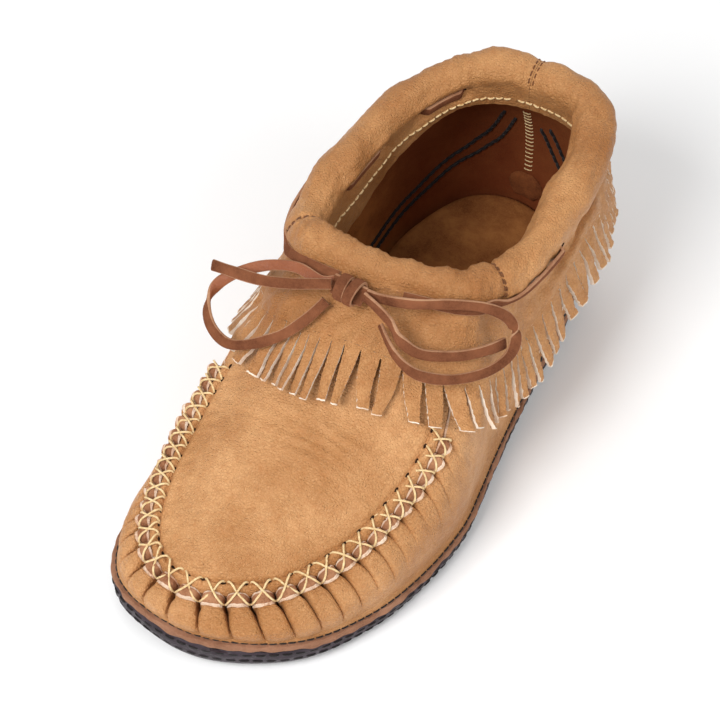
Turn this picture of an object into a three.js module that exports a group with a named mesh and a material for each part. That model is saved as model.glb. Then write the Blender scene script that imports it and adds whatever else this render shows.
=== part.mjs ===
// Fringed ankle moccasin for the left foot.
// Millimetres. +Z is up, the toe points towards -Y, and +X is the outer side of the foot.
import * as THREE from 'three';

// ---- Driving dimensions ----

const SOLE_TOP = 11; // upper face of the midsole above the ground
const TOE_SPRING = { from: -55, run: 70, rise: 7 };
const TOE_LIP = 1.8; // how much further the sole reaches at the toe
const MIDSOLE = 3.4;
const OUTSOLE = 3; // thickness of the outsole leather
const INSOLE = 2.6;
const MARGIN = 20; // width of the wrap that is turned under the foot
const WRAP_LEATHER = 2;
const PLUG_LEATHER = 2;
const CUFF_LEATHER = 1.6;
const COUNTER_LEATHER = 1.6;
const GAP = 0.35; // running gap between neighbouring pieces

const CROSSES = 32; // cross stitches along the vamp seam
const SEAM = { from: 6.85, to: 15.9 }; // stations at the ends of the cross stitching
// Pitch of the cross stitches by station: they are widest round the toe.
const STITCH_PITCH = [
  [6.85, 6.8], [8.2, 7.5], [9.2, 8], [10.3, 9.6], [11.6, 9.6], [12.6, 7.6], [13.3, 6.1],
];
const PUCKER = 1.1; // depth of the gathers at the wrap's top edge
const PLUG_INSET = 1.9; // from the wrap's top edge to the plug's edge
const CREAM_THREAD = 0.5; // radius
const DARK_THREAD = 0.4;

const STRAND_PITCH = 5.6;
const STRAND_GAP = 0.5;

const LACE = { width: 4.2, thick: 1.8 };
const SLOT_WIDTH = 7;
// Collar stations between which the lace runs inside the cuff.
const LACE_INSIDE = [[1.3, 3.2], [10.65, 11.6], [12.35, 13.15]];

// Stations round the shoe: heel centre, outer side, toe, inner side and back to the heel.
// Sole edge x, y; top edge of the wrap x, y, z; roundness of the wall; bulge of the wall.
const STATIONS = [
  [0, 125, 0, 117, 86, 0.2, 5],
  [27, 113, 28, 110, 86, 0.2, 5],
  [39, 86, 42, 85, 84, 0.2, 4],
  [44, 50, 48, 54, 82, 0.2, 3],
  [48, 22, 46, 26, 82, 0.25, 3],
  [51, 4, 35, 4, 84, 0.35, 3],
  [54, -12, 42, -11, 67, 0.6, 4],
  [56.5, -30, 46, -27, 53, 0.8, 4],
  [54.4, -54, 43.5, -52, 42, 1, 4],
  [47.2, -80, 35.5, -78, 34.5, 1, 4.5],
  [31.8, -105, 20.5, -100.5, 30.5, 1, 5],
  [5, -121.5, -1, -113, 28.5, 1, 5],
  [-20, -122.5, -19, -113.5, 28, 1, 4],
  [-39, -114, -33, -104, 28.5, 0.9, 3],
  [-49, -92, -41.5, -83, 33, 0.8, 2],
  [-49, -64, -44.5, -55, 41, 0.7, 2],
  [-45, -38, -44, -33, 51, 0.6, 2],
  [-41, -14, -39, -14, 67, 0.5, 2],
  [-38.5, 4, -30, 2, 84, 0.35, 2],
  [-37, 24, -38, 24, 82, 0.25, 3],
  [-37, 56, -38, 54, 82, 0.2, 3],
  [-35, 88, -33, 82, 84, 0.2, 4],
  [-23, 116, -22, 107, 86, 0.2, 5],
];
const TOE_STATION = 11.5;
const THROAT_SPAN = 6.5; // stations from the toe to each end of the throat

// Height of the plug's crown above its edges, from the toe (0) to the throat (1).
const CROWN = [[0, 1], [0.1, 3.5], [0.25, 7], [0.45, 11], [0.65, 15], [0.8, 15.5], [1, 10]];

// Collar stations round the ankle, from the heel by the outer side and the instep. Each row:
// crest of the roll; waist where the lace draws the leather in; root and tip of the fringe;
// depth of the inner leaf below the crest.
const COLLAR = [
  [2, 110, 110, 0.5, 120.2, 87, 0, 127, 74, 0, 133, 51, 20],
  [32, 108, 110, 29.9, 113, 86, 34, 117, 74, 37, 121, 51, 20],
  [43.8, 84.5, 107.5, 44.8, 85.7, 84.5, 48.8, 86.5, 76, 55, 88.5, 56, 24],
  [47, 54, 104, 50.6, 54, 83, 52.8, 54, 75, 60, 54, 56, 36],
  [45, 28, 102, 49, 26, 86, 51.8, 26, 66, 60.5, 22, 46, 36],
  [39.5, 16.5, 101.8, 43.5, 11, 93, 50, 8, 66, 58, -2, 50, 28],
  [31, 8, 102, 34.5, 2, 96, 44, -11, 71, 53, -20, 59, 20],
  [3, 1, 104, 4, -6.5, 96.5, 6, -22, 82, 8.5, -41, 68, 15],
  [-20, 1.2, 102.6, -22, -5.8, 93.5, -18, -23.6, 79, -19, -43.5, 65.5, 17],
  [-31.2, 6.5, 101, -35, 1.5, 88.5, -37.5, -15.5, 71.5, -45, -29, 57, 24],
  [-35.4, 18, 99.5, -40.4, 18, 83, -43.4, 12, 69, -51, 4, 50, 34],
  [-37, 42, 100, -41, 44, 83, -44, 42, 69, -54, 40, 49, 36],
  [-33.4, 70.5, 103, -36.8, 76, 84, -41, 77, 71, -49, 80, 50, 26],
  [-21.2, 97, 107, -26.6, 105.4, 86, -29, 114, 73, -34.5, 119.5, 51, 20],
];
const COLLAR_SEAMS = { back: 0.2, lateral: 4.6, medial: 9.1 };
const ROLL = 6.4; // half width of the padded roll

const TAN = 0xc99a62;
const TAN_DEEP = 0xb98a55;
const RAW_SUEDE = 0xa97a4c;
const BROWN_SUEDE = 0x6e4630;
const LACE_BROWN = 0x7a4a35;
const CREAM = 0xe8d9b0;
const BLACK_THREAD = 0x17120f;
const OUTSOLE_BLACK = 0x231c22;
const FOAM = 0xd9cfa8;

// ---- Small helpers ----

const vec = (x, y, z) => new THREE.Vector3(x, y, z);
const steps = (from, to, count) =>
  Array.from({ length: count + 1 }, (_, i) => from + ((to - from) * i) / count);
const mix = (a, b, t) => a + (b - a) * t;

// Smooth curve through rows of numbers, with the row number as its parameter.
function along(rows, u, closed = true) {
  const count = rows.length;
  const first = closed ? Math.floor(u) : Math.min(Math.max(Math.floor(u), 0), count - 2);
  const f = u - first;
  const row = (k) =>
    closed ? rows[((k % count) + count) % count] : rows[Math.min(Math.max(k, 0), count - 1)];
  const [a, b, c, d] = [row(first - 1), row(first), row(first + 1), row(first + 2)];
  return b.map((_, k) => {
    const bend = (2 * a[k] - 5 * b[k] + 4 * c[k] - d[k]) * f * f;
    const twist = (3 * b[k] - a[k] - 3 * c[k] + d[k]) * f * f * f;
    return 0.5 * (2 * b[k] + (c[k] - a[k]) * f + bend + twist);
  });
}

// Straight-line reading of a table of [input, value] pairs.
function table(pairs, at) {
  const next = pairs.findIndex(([x]) => x >= at);
  if (next <= 0) return pairs[next === 0 ? 0 : pairs.length - 1][1];
  const [[x0, y0], [x1, y1]] = [pairs[next - 1], pairs[next]];
  return mix(y0, y1, (at - x0) / (x1 - x0));
}

// Horizontal unit vector that points out of the shoe from a closed run of stations.
function outward(rows, u) {
  const [x0, y0] = along(rows, u - 0.01);
  const [x1, y1] = along(rows, u + 0.01);
  return vec(-(y1 - y0), x1 - x0, 0).normalize();
}

// Point on a surface moved off it along its outward normal.
function lifted(surface, u, v, lift) {
  const step = 1e-3;
  const du = surface(u + step, v).sub(surface(u - step, v));
  const dv = surface(u, v + step).sub(surface(u, v - step));
  return surface(u, v).addScaledVector(dv.cross(du).normalize(), lift);
}

// Closed mesh from points and faces, turned so that it faces outward.
function solid(points, faces) {
  let volume = 0;
  for (const [a, b, c] of faces) {
    volume += points[a].dot(vec(0, 0, 0).crossVectors(points[b], points[c]));
  }
  const index = volume < 0 ? faces.map(([a, b, c]) => [a, c, b]) : faces;
  const geometry = new THREE.BufferGeometry().setFromPoints(points);
  geometry.setIndex(index.flat());
  geometry.computeVertexNormals();
  return geometry;
}

// Sheet of leather between two lifts off a surface, built cell by cell so that it can have
// slots and strands: `present` says which cells are leather.
function leather(surface, us, vs, low, high, { present = () => true, endless = false } = {}) {
  const across = endless ? us.length : us.length - 1;
  const points = [];
  const faces = [];
  const known = new Map();
  const corner = (i, j, lift) => {
    const column = endless ? (i + across) % across : i;
    const key = `${column},${j},${lift}`;
    if (!known.has(key)) {
      known.set(key, points.length);
      points.push(lifted(surface, us[column], vs[j], lift));
    }
    return known.get(key);
  };
  const quad = (a, b, c, d) => faces.push([a, b, c], [a, c, d]);
  const filled = (i, j) => {
    const inside = j >= 0 && j < vs.length - 1 && (endless || (i >= 0 && i < across));
    return inside && present((i + across) % across, j);
  };
  for (let i = 0; i < across; i++) {
    for (let j = 0; j < vs.length - 1; j++) {
      if (!filled(i, j)) continue;
      const ring = [[i, j], [i, j + 1], [i + 1, j + 1], [i + 1, j]];
      quad(...ring.map(([a, b]) => corner(a, b, high)));
      quad(...ring.map(([a, b]) => corner(a, b, low)).reverse());
      const beside = [[i - 1, j], [i, j + 1], [i + 1, j], [i, j - 1]];
      beside.forEach(([a, b], side) => {
        if (filled(a, b)) return;
        const from = ring[side];
        const to = ring[(side + 1) % 4];
        quad(corner(...to, high), corner(...from, high), corner(...from, low), corner(...to, low));
      });
    }
  }
  return solid(points, faces);
}

// Solid skinned over a run of equal loops. An endless run joins its last loop to its first.
function skin(loops, endless = false) {
  const size = loops[0].length;
  const faces = [];
  const quad = (a, b, c, d) => faces.push([a, b, c], [a, c, d]);
  const runs = endless ? loops.length : loops.length - 1;
  for (let i = 0; i < runs; i++) {
    const next = (i + 1) % loops.length;
    for (let j = 0; j < size; j++) {
      const k = (j + 1) % size;
      quad(i * size + j, i * size + k, next * size + k, next * size + j);
    }
  }
  if (!endless) {
    const cap = (start, flip) => {
      for (let j = 0; j < size / 2 - 1; j++) {
        const rung = [start + j, start + size - 1 - j, start + size - 2 - j, start + j + 1];
        quad(...(flip ? rung.reverse() : rung));
      }
    };
    cap(0, false);
    cap((loops.length - 1) * size, true);
  }
  return solid(loops.flat(), faces);
}

// Strap or thread swept along a path. Each point carries the direction of the strap's width.
function sweep(path, width, thick, endless = false) {
  const count = path.length;
  const loops = path.map(({ at, across }, i) => {
    const before = endless ? path[(i + count - 1) % count].at : path[Math.max(i - 1, 0)].at;
    const after = endless ? path[(i + 1) % count].at : path[Math.min(i + 1, count - 1)].at;
    const tangent = after.clone().sub(before).normalize();
    const up = vec(0, 0, 0).crossVectors(tangent, across).normalize();
    const side = vec(0, 0, 0).crossVectors(up, tangent).normalize();
    const corners = [[-1, -1], [1, -1], [1, 1], [-1, 1]];
    return corners.map(([a, b]) =>
      at.clone().addScaledVector(side, (a * width) / 2).addScaledVector(up, (b * thick) / 2));
  });
  return skin(loops, endless);
}

const parts = new THREE.Group();
parts.name = 'fringed_moccasin';

function add(name, geometry, colour, roughness = 0.85) {
  const material = new THREE.MeshStandardMaterial({ color: colour, roughness, metalness: 0 });
  const mesh = new THREE.Mesh(geometry, material);
  mesh.name = name;
  parts.add(mesh);
}

// ---- Surfaces of the shoe ----

// Rise of the sole towards the toe.
function spring(y) {
  const t = Math.min(Math.max((TOE_SPRING.from - y) / TOE_SPRING.run, 0), 1);
  return TOE_SPRING.rise * t * t;
}

// Outer face of the wrap. `v` runs up the wall from 0 at the sole edge to 1 at the top edge,
// and down to -1 across the margin that is turned under the foot.
function wall(u, v) {
  const [fx, fy, tx, ty, tz, round, bulge] = along(STATIONS, u);
  const out = outward(STATIONS, u);
  if (v < 0) {
    const edge = vec(fx, fy, 0).addScaledVector(out, v * MARGIN);
    return edge.setZ(SOLE_TOP + GAP + spring(edge.y));
  }
  const foot = vec(fx, fy, SOLE_TOP + GAP + spring(fy));
  const rise = vec(tx, ty, tz).sub(foot);
  const turn = (v * Math.PI) / 2;
  const inwards = mix(v, 1 - Math.cos(turn), round);
  const upwards = mix(v, Math.sin(turn), round);
  const point = foot.add(vec(rise.x * inwards, rise.y * inwards, rise.z * upwards));
  return point.addScaledVector(out, bulge * Math.sin(Math.PI * Math.min(v, 1)));
}

// Top surface of the plug. `u` runs from the toe to the throat and `w` across it.
function vamp(u, w) {
  const edge = (side, t) => vec(...along(STATIONS, TOE_STATION - side * THROAT_SPAN * t).slice(2, 5));
  const spine = (t) => edge(1, t).add(edge(-1, t)).multiplyScalar(0.5);
  const slope = spine(u + 0.01).sub(spine(u - 0.01));
  const up = vec(0, -slope.z, slope.y).normalize();
  const crown = table(CROWN, u) * (1 - Math.abs(w) ** 2.2);
  return edge(-1, u).lerp(edge(1, u), (w + 1) / 2).addScaledVector(up, crown);
}

// Middle of the folded cuff leather. `s` runs up from the fringe tips (0) by the roots (1), the
// waist (2) and the crest (5), and down to the lower edge of the inner leaf (9).
function cuff(u, s) {
  const [x, y, z, wx, wy, wz, rx, ry, rz, tx, ty, tz, depth] = along(COLLAR, u);
  const out = outward(COLLAR, u);
  const rolled = (reach, drop) => [x + out.x * reach, y + out.y * reach, z - drop];
  const profile = [
    [tx, ty, tz], [rx, ry, rz], [wx, wy, wz], rolled(ROLL, 6.5), rolled(0.65 * ROLL, 1.4),
    [x, y, z], rolled(-0.65 * ROLL, 1.4), rolled(-ROLL, 6), rolled(-ROLL + 0.8, 13),
    rolled(-4.5, depth),
  ];
  return vec(...along(profile, s, false));
}

// ---- Sole ----

const RING = 72;
const aroundFoot = Array.from({ length: RING }, (_, i) => ((i + 0.5) * STATIONS.length) / RING);

// One ring round the sole at an offset from the sole edge and a height in the sole.
function soleRing(offset, height, flatten = 1, lip = 0) {
  return aroundFoot.map((u) => {
    const [x, y] = along(STATIONS, u);
    const reach = offset + (lip * spring(y)) / TOE_SPRING.rise;
    const point = vec(x, y, 0).addScaledVector(outward(STATIONS, u), reach);
    return point.setZ(height + spring(point.y) * flatten);
  });
}

function addSole() {
  const cupTop = SOLE_TOP - MIDSOLE - GAP;
  const cupFloor = OUTSOLE + 0.2;
  add('outsole', skin([
    soleRing(-5, 0, 0.35), soleRing(0.6, 1, 0.4, TOE_LIP), soleRing(2.2, 4, 0.8, TOE_LIP),
    soleRing(2.4, cupTop, 1, TOE_LIP),
    soleRing(0.2, cupTop), soleRing(-0.6, cupFloor),
  ]), OUTSOLE_BLACK, 0.6);
  add('sole_cushion', skin([soleRing(-2, cupFloor + GAP), soleRing(-1.6, cupTop - GAP)]), FOAM, 0.9);
  add('midsole', skin([
    soleRing(1.6, SOLE_TOP - MIDSOLE), soleRing(3, SOLE_TOP - MIDSOLE / 2, 1, TOE_LIP / 2),
    soleRing(2.4, SOLE_TOP, 1, TOE_LIP / 2),
  ]), RAW_SUEDE, 0.95);
  const boardTop = SOLE_TOP + GAP + WRAP_LEATHER;
  add('margin_filler', skin([
    soleRing(-MARGIN - 2, SOLE_TOP + GAP), soleRing(-MARGIN - 2, boardTop),
  ]), FOAM, 0.95);
  const sockFoot = boardTop + GAP;
  add('insole', skin([
    soleRing(-3.4, sockFoot), soleRing(-3.2, sockFoot + INSOLE / 2), soleRing(-3.6, sockFoot + INSOLE),
  ]), BROWN_SUEDE, 0.95);
  for (const [name, height, offset] of [['upper', 5.9, 2.4], ['lower', 3.2, 1.8]]) {
    const lift = offset + GAP + DARK_THREAD;
    const ring = soleRing(lift, height, mix(0.8, 1, (height - 4) / (cupTop - 4)), TOE_LIP + 0.4);
    const path = ring.map((at, i) => ({ at, across: outward(STATIONS, aroundFoot[i]) }));
    add(`outsole_stitching_${name}`, sweep(path, 2 * DARK_THREAD, 2 * DARK_THREAD, true),
      BLACK_THREAD, 0.8);
  }
}

// ---- Wrap, plug and their cross-stitched seam ----

// Station of a point on the seam, found from its share of the cross stitches.
const seamTable = (() => {
  const us = steps(SEAM.from, SEAM.to, 160);
  const at = us.map((u) => vec(...along(STATIONS, u).slice(2, 5)));
  const lengths = at.map((_, i) =>
    i === 0 ? 0 : at[i].distanceTo(at[i - 1]) / table(STITCH_PITCH, us[i]));
  let total = 0;
  const sums = lengths.map((length) => (total += length));
  return sums.map((sum, i) => [sum / total, us[i]]);
})();
const seamStation = (share) => table(seamTable, share);

// Wall with the gathers that take up the fullness of the wrap at the plug.
function puckered(u, v) {
  const inSeam = u > SEAM.from && u < SEAM.to && v > 0.3;
  if (!inSeam) return wall(u, v);
  const share = table(seamTable.map(([a, b]) => [b, a]), u);
  const depth = PUCKER * ((v - 0.3) / 0.7) * Math.cos(2 * Math.PI * CROSSES * share);
  return wall(u, v).addScaledVector(outward(STATIONS, u), -depth);
}

function addUpper() {
  const gathers = steps(0, 1, 2 * CROSSES).map(seamStation);
  const last = STATIONS.length;
  const lateral = [...steps(0.1, 2.1, 8), ...steps(2.7, SEAM.from - 0.35, 8)];
  const medial = [...steps(SEAM.to + 0.35, last - 2.7, 8), ...steps(last - 2.1, last - 0.1, 8)];
  const heights = [-1, 0, 0.12, 0.32, 0.56, 0.8, 1];
  add('moccasin_wrap', leather(puckered, [...lateral, ...gathers, ...medial], heights,
    -WRAP_LEATHER, 0, { endless: true }), TAN, 0.75);

  const inset = (u, w) => {
    const halfWidth = vamp(u, 1).distanceTo(vamp(u, -1)) / 2;
    return vamp(u, w * (1 - PLUG_INSET / halfWidth));
  };
  add('vamp_plug', leather(inset, steps(0.045, 1, 18), steps(-1, 1, 10), -PLUG_LEATHER, 0),
    TAN, 0.75);
}

// Point just above the seam: `side` is -1 on the wrap's gathers and +1 on the plug.
function seamPoint(share, side, lift) {
  const u = seamStation(share);
  const [, , x, y, z] = along(STATIONS, u);
  const reach = side > 0 ? -4.2 : 2.2;
  const at = vec(x, y, z).addScaledVector(outward(STATIONS, u), reach);
  const rise = side > 0 ? 3.9 : 0.2;
  return at.add(vec(0, 0, rise + lift));
}

function addLacing() {
  for (const [name, phase, over] of [['first', 0, 0], ['return', 1, 2.3]]) {
    const path = [];
    for (let k = 0; k <= CROSSES; k++) {
      const side = (k + phase) % 2 === 0 ? 1 : -1;
      const share = k / CROSSES;
      path.push({ at: seamPoint(share, side, 1.6), across: vec(0, 0, 1) });
      if (k === CROSSES) break;
      const halfway = share + 0.5 / CROSSES;
      const middle = seamPoint(halfway, 1, 1.6).lerp(seamPoint(halfway, -1, 1.6), 0.5);
      path.push({ at: middle.add(vec(0, 0, 0.7 + over)), across: vec(0, 0, 1) });
    }
    add(`seam_lacing_${name}_pass`, sweep(path, 2 * CREAM_THREAD, 2 * CREAM_THREAD), CREAM, 0.6);
  }
}

// ---- Heel ----

// Height of the counter's edge on the wall, from the back seam out to the end of the wing.
const COUNTER_EDGE = [
  [0, 0.78], [0.36, 0.76], [0.6, 0.5], [1, 0.36], [1.8, 0.25], [2.6, 0.19], [3.6, 0.13],
];

function addHeel() {
  const end = STATIONS.length;
  const counter = (u, t) => {
    const edge = table(COUNTER_EDGE, Math.abs(u));
    return wall(u < 0 ? u + end : u, mix(0.06, edge, t));
  };
  const us = [-3.6, -3, -2.4, -1.9, -1.4, -1.1, -0.8, -0.6, -0.45, -0.25, 0];
  add('heel_counter', leather(counter, [...us, ...us.slice(0, -1).reverse().map((u) => -u)],
    steps(0, 1, 5), 1.6 * GAP, 1.6 * GAP + COUNTER_LEATHER), TAN_DEEP, 0.75);

  const inner = -WRAP_LEATHER - GAP - DARK_THREAD - 0.3;
  for (const [side, sign] of [['lateral', 1], ['medial', -1]]) {
    for (const [row, closer, lower] of [['outer', 0.04, 0.03], ['inner', 0.2, 0.06]]) {
      const path = steps(0.4 - closer, 3.1, 22).map((reach) => {
        const u = sign > 0 ? reach : end - reach;
        const v = Math.max(table(COUNTER_EDGE, reach + closer) - lower, 0.1);
        return { at: lifted(wall, u, v, inner), across: outward(STATIONS, u) };
      });
      add(`counter_stitching_${side}_${row}_row`,
        sweep(path, 2 * DARK_THREAD, 2 * DARK_THREAD), BLACK_THREAD, 0.8);
    }
  }

  const rungs = 17;
  const ladder = steps(0, 2 * rungs, 2 * rungs).map((k) => {
    const v = mix(0.27, 0.78, k / (2 * rungs));
    const u = (k % 2 === 0 ? 0.07 : -0.07) + end;
    return { at: lifted(wall, u, v, inner), across: vec(0, -1, 0) };
  });
  add('back_seam_ladder_stitch', sweep(ladder, 2 * DARK_THREAD, 2 * DARK_THREAD), CREAM, 0.6);

  const lobe = (u, v) => wall(end + u, v);
  const width = [0.17, 0.27, 0.3, 0.27, 0.16];
  const tab = (a, t) => lobe(a * table(width.map((w, i) => [i / 4, w]), t), mix(0.09, 0.24, t));
  add('heel_tab', leather(tab, steps(-1, 1, 6), steps(0, 1, 5), -WRAP_LEATHER - GAP - 2.2,
    -WRAP_LEATHER - GAP - 0.6), BROWN_SUEDE, 0.95);
}

// ---- Collar ----

const COLLAR_PIECES = [
  ['lateral', COLLAR_SEAMS.back, COLLAR_SEAMS.lateral, 14],
  ['front', COLLAR_SEAMS.lateral, COLLAR_SEAMS.medial, 15],
  ['medial', COLLAR_SEAMS.medial, COLLAR.length + COLLAR_SEAMS.back, 14],
];
const SEAM_GAP = 0.03;
const LEVELS = [1.04, 1.5, 2, 2.38, 2.95, 3.5, 4.2, 5, 5.8, 6.5, 7, 7.16, 8.02, 9];
const OUTER_SLOT = 3; // the cells of LEVELS that hold the lace slots
const INNER_SLOT = 11;
const SLOT_LEVEL = { outside: 2.7, inside: 7.58 };

function addCollar() {
  for (const [name, from, to, count] of COLLAR_PIECES) {
    const us = steps(from + SEAM_GAP, to - SEAM_GAP, count);
    const slots = LACE_INSIDE.flat().filter((u) => u > from && u < to);
    for (const u of slots) {
      const half = SLOT_WIDTH / 2 / cuff(u + 0.5, 3).distanceTo(cuff(u - 0.5, 3));
      const clear = us.filter((x) => Math.abs(x - u) > 1.8 * half);
      us.splice(0, us.length, ...clear, u - half, u + half);
      us.sort((a, b) => a - b);
    }
    const isSlot = (i, j) =>
      (j === OUTER_SLOT || j === INNER_SLOT) && slots.some((u) => us[i] < u && us[i + 1] > u);
    add(`collar_${name}`, leather(cuff, us, LEVELS, -CUFF_LEATHER / 2, CUFF_LEATHER / 2,
      { present: (i, j) => !isSlot(i, j) }), TAN, 0.75);
    addPadding(name, from, to, count);
  }
  const topstitch = steps(0, COLLAR.length - 0.25, 55).map((u) => {
    const at = lifted(cuff, u, 8.3, CUFF_LEATHER / 2 + 2 * GAP + DARK_THREAD);
    return { at, across: outward(COLLAR, u) };
  });
  add('collar_topstitching', sweep(topstitch, 2 * DARK_THREAD, 2 * DARK_THREAD, true), CREAM, 0.6);
  for (const [name, u] of Object.entries(COLLAR_SEAMS)) {
    const path = steps(0, 10, 10).map((k) => {
      const beside = u + (k % 2 === 0 ? 0.07 : -0.07);
      const at = lifted(cuff, beside, mix(3, 6.8, k / 10), CUFF_LEATHER / 2 + GAP + DARK_THREAD);
      const centre = lifted(cuff, beside, mix(3, 6.8, k / 10), 0);
      return { at, across: at.clone().sub(centre).normalize() };
    });
    add(`collar_seam_stitch_${name}`, sweep(path, 2 * DARK_THREAD, 2 * DARK_THREAD), TAN_DEEP, 0.8);
  }
}

// Foam roll under the crest of the cuff, above the lace slots.
function addPadding(name, from, to, count) {
  const inset = -CUFF_LEATHER / 2 - GAP - 0.7;
  const levels = [3.15, 3.7, 4.3, 5, 5.7, 6.3, 6.85];
  const loops = steps(from + 0.06, to - 0.06, count).map((u) =>
    levels.map((s) => lifted(cuff, u, s, inset)));
  const even = loops.map((loop) => [...loop, loop[0].clone().lerp(loop[loop.length - 1], 0.5)]);
  add(`collar_padding_${name}`, skin(even), FOAM, 0.95);
}

// ---- Fringe ----

// Lattice lines across a comb: a strand, then a narrow slit, and so on.
function combLines(from, to, length) {
  const strands = Math.round(length / STRAND_PITCH);
  const pitch = (to - from) / strands;
  const slit = (pitch * STRAND_GAP) / STRAND_PITCH;
  const lines = [];
  for (let k = 0; k < strands; k++) {
    lines.push(from + k * pitch + slit / 2, from + (k + 1) * pitch - slit / 2);
  }
  return lines;
}

function addFringe() {
  const combs = [
    ['lateral_heel', 0.26, 2.05], ['lateral_side', 2.1, 4.56], ['front_lateral', 4.64, 6.15],
    ['front', 6.2, 8.15], ['front_medial', 8.2, 9.06], ['medial_side', 9.14, 11.95],
    ['medial_heel', 12, 14.14],
  ];
  const levels = [0, 0.5, 0.88, 0.965];
  for (const [name, from, to] of combs) {
    const roots = steps(from, to, 12).map((u) => cuff(u, 1));
    const length = roots.slice(1).reduce((sum, at, i) => sum + at.distanceTo(roots[i]), 0);
    const present = (i, j) => i % 2 === 0 || j === 2;
    add(`fringe_${name}`, leather(cuff, combLines(from, to, length), levels,
      -CUFF_LEATHER / 2, CUFF_LEATHER / 2, { present }), TAN, 0.8);
  }
}

// ---- Lace ----

// Smooth path through hand-set points, with the direction of the lace's width.
function lacePath(rows, across, pieces) {
  return steps(0, rows.length - 1, pieces).map((u) => ({ at: vec(...along(rows, u, false)), across }));
}

const BOW = {
  loop_medial: [[-7, -13, 100], [-12, -15, 99], [-24, -12, 96], [-36, -13, 91], [-46, -18, 86],
    [-52, -24, 81], [-52, -31, 76], [-47, -36, 72], [-39, -38, 70], [-30, -36, 73],
    [-20, -31, 79], [-13, -25, 86], [-8, -18, 93]],
  end_medial: [[-6, -17, 103], [-11, -19, 102], [-21, -22, 99], [-32, -23, 95], [-43, -22, 91],
    [-56, -20, 86]],
  loop_lateral: [[7, -13, 101], [13, -13, 102], [24, -10, 103], [36, -3, 103], [46, 4, 100],
    [53, 9, 93], [57, 8, 86], [57, 4, 80], [54, -4, 78], [48, -12, 78], [41, -19, 80],
    [33, -24, 84], [24, -23, 88], [15, -18, 94]],
  end_lateral: [[7, -16, 103], [12, -17, 102], [19, -18, 98], [25, -20, 93], [32, -18, 88],
    [41, -11, 85], [47, -5, 84], [51, 1, 83], [53, 7, 81]],
};

function addLace() {
  const across = {
    loop_medial: vec(0, 0.6, 0.8),
    end_medial: vec(0, 0.6, 0.8),
    loop_lateral: vec(-0.4, 0.2, 0.9),
    end_lateral: vec(-0.4, 0.2, 0.9),
  };
  for (const [name, rows] of Object.entries(BOW)) {
    const path = lacePath(rows, across[name], 2 * (rows.length - 1));
    add(`lace_${name}`, sweep(path, LACE.width, LACE.thick), LACE_BROWN, 0.95);
  }
  add('lace_knot', knot(), LACE_BROWN, 0.95);
  add('lace_collar_run', sweep(collarRun(), LACE.width, LACE.thick), LACE_BROWN, 0.95);
}

// Wrapped knot: a short barrel across the instep.
function knot() {
  const shape = new THREE.SphereGeometry(1, 12, 8);
  shape.deleteAttribute('normal');
  shape.deleteAttribute('uv');
  const centre = vec(-0.5, -14, 99.6);
  shape.scale(5, 4.6, 5.6);
  shape.rotateX(0.7);
  shape.translate(centre.x, centre.y, centre.z);
  return shape;
}

// The thong's way round the collar: outside the cuff, except where a pair of slots takes it in.
function collarRun() {
  const count = COLLAR.length;
  const reach = count / 2 - 0.4;
  const turn = 0.045; // stations between the middle of a slot and the lace's bend
  const pairs = LACE_INSIDE.map((pair) => pair.map((u) => (u > count / 2 ? u - count : u)));
  const bends = pairs.flat().sort((a, b) => a - b);
  const stops = [-reach, ...bends.flatMap((u) => [u - turn, u + turn]), reach];
  const off = CUFF_LEATHER / 2 + GAP + LACE.thick / 2 + 0.5;
  const path = [];
  for (let k = 0; k < stops.length; k += 2) {
    const [from, to] = [stops[k], stops[k + 1]];
    const taken = pairs.some(([a, b]) => from > a && to < b);
    for (const u of steps(from, to, Math.ceil((to - from) / 0.16))) {
      const station = (u + count) % count;
      const towardKnot = Math.max((Math.abs(u) - 4) / (reach - 4), 0);
      const level = mix(taken ? SLOT_LEVEL.inside : SLOT_LEVEL.outside, 2, Math.min(2 * towardKnot, 1));
      const at = lifted(cuff, station, level, off + 1.2 * towardKnot + (taken ? 0.3 : 0));
      const ahead = cuff(station, level + (taken ? -0.1 : 0.1));
      path.push({ at, across: ahead.sub(cuff(station, level)).normalize() });
    }
  }
  return path;
}

addSole();
addUpper();
addLacing();
addHeel();
addCollar();
addFringe();
addLace();

export default parts;
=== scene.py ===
# Fringed ankle moccasin for the left foot: its leather, stitching, fringe and lace.
# Shapes are worked out in millimetres, and turned into metres as each mesh is made.
# +Z is up, the toe points towards -Y, and +X is the outer side of the foot.
import math

import bmesh
import bpy
import numpy as np
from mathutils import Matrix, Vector


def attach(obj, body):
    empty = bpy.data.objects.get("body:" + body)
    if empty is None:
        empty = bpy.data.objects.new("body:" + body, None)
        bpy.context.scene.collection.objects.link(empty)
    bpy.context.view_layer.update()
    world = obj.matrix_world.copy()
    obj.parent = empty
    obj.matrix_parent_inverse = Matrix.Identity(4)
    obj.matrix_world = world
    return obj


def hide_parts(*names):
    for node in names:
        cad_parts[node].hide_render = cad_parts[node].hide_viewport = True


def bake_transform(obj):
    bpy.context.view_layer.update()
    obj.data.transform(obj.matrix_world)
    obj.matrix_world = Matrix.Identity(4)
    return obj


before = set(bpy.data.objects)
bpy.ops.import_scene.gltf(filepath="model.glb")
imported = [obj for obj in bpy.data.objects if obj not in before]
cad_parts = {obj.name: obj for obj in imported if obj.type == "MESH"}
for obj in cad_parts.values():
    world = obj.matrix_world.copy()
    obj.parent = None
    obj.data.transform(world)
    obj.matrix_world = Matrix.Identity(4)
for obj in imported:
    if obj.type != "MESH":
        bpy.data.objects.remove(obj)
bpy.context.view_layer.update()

MM = 0.001

# ---- Driving dimensions ----

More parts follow.
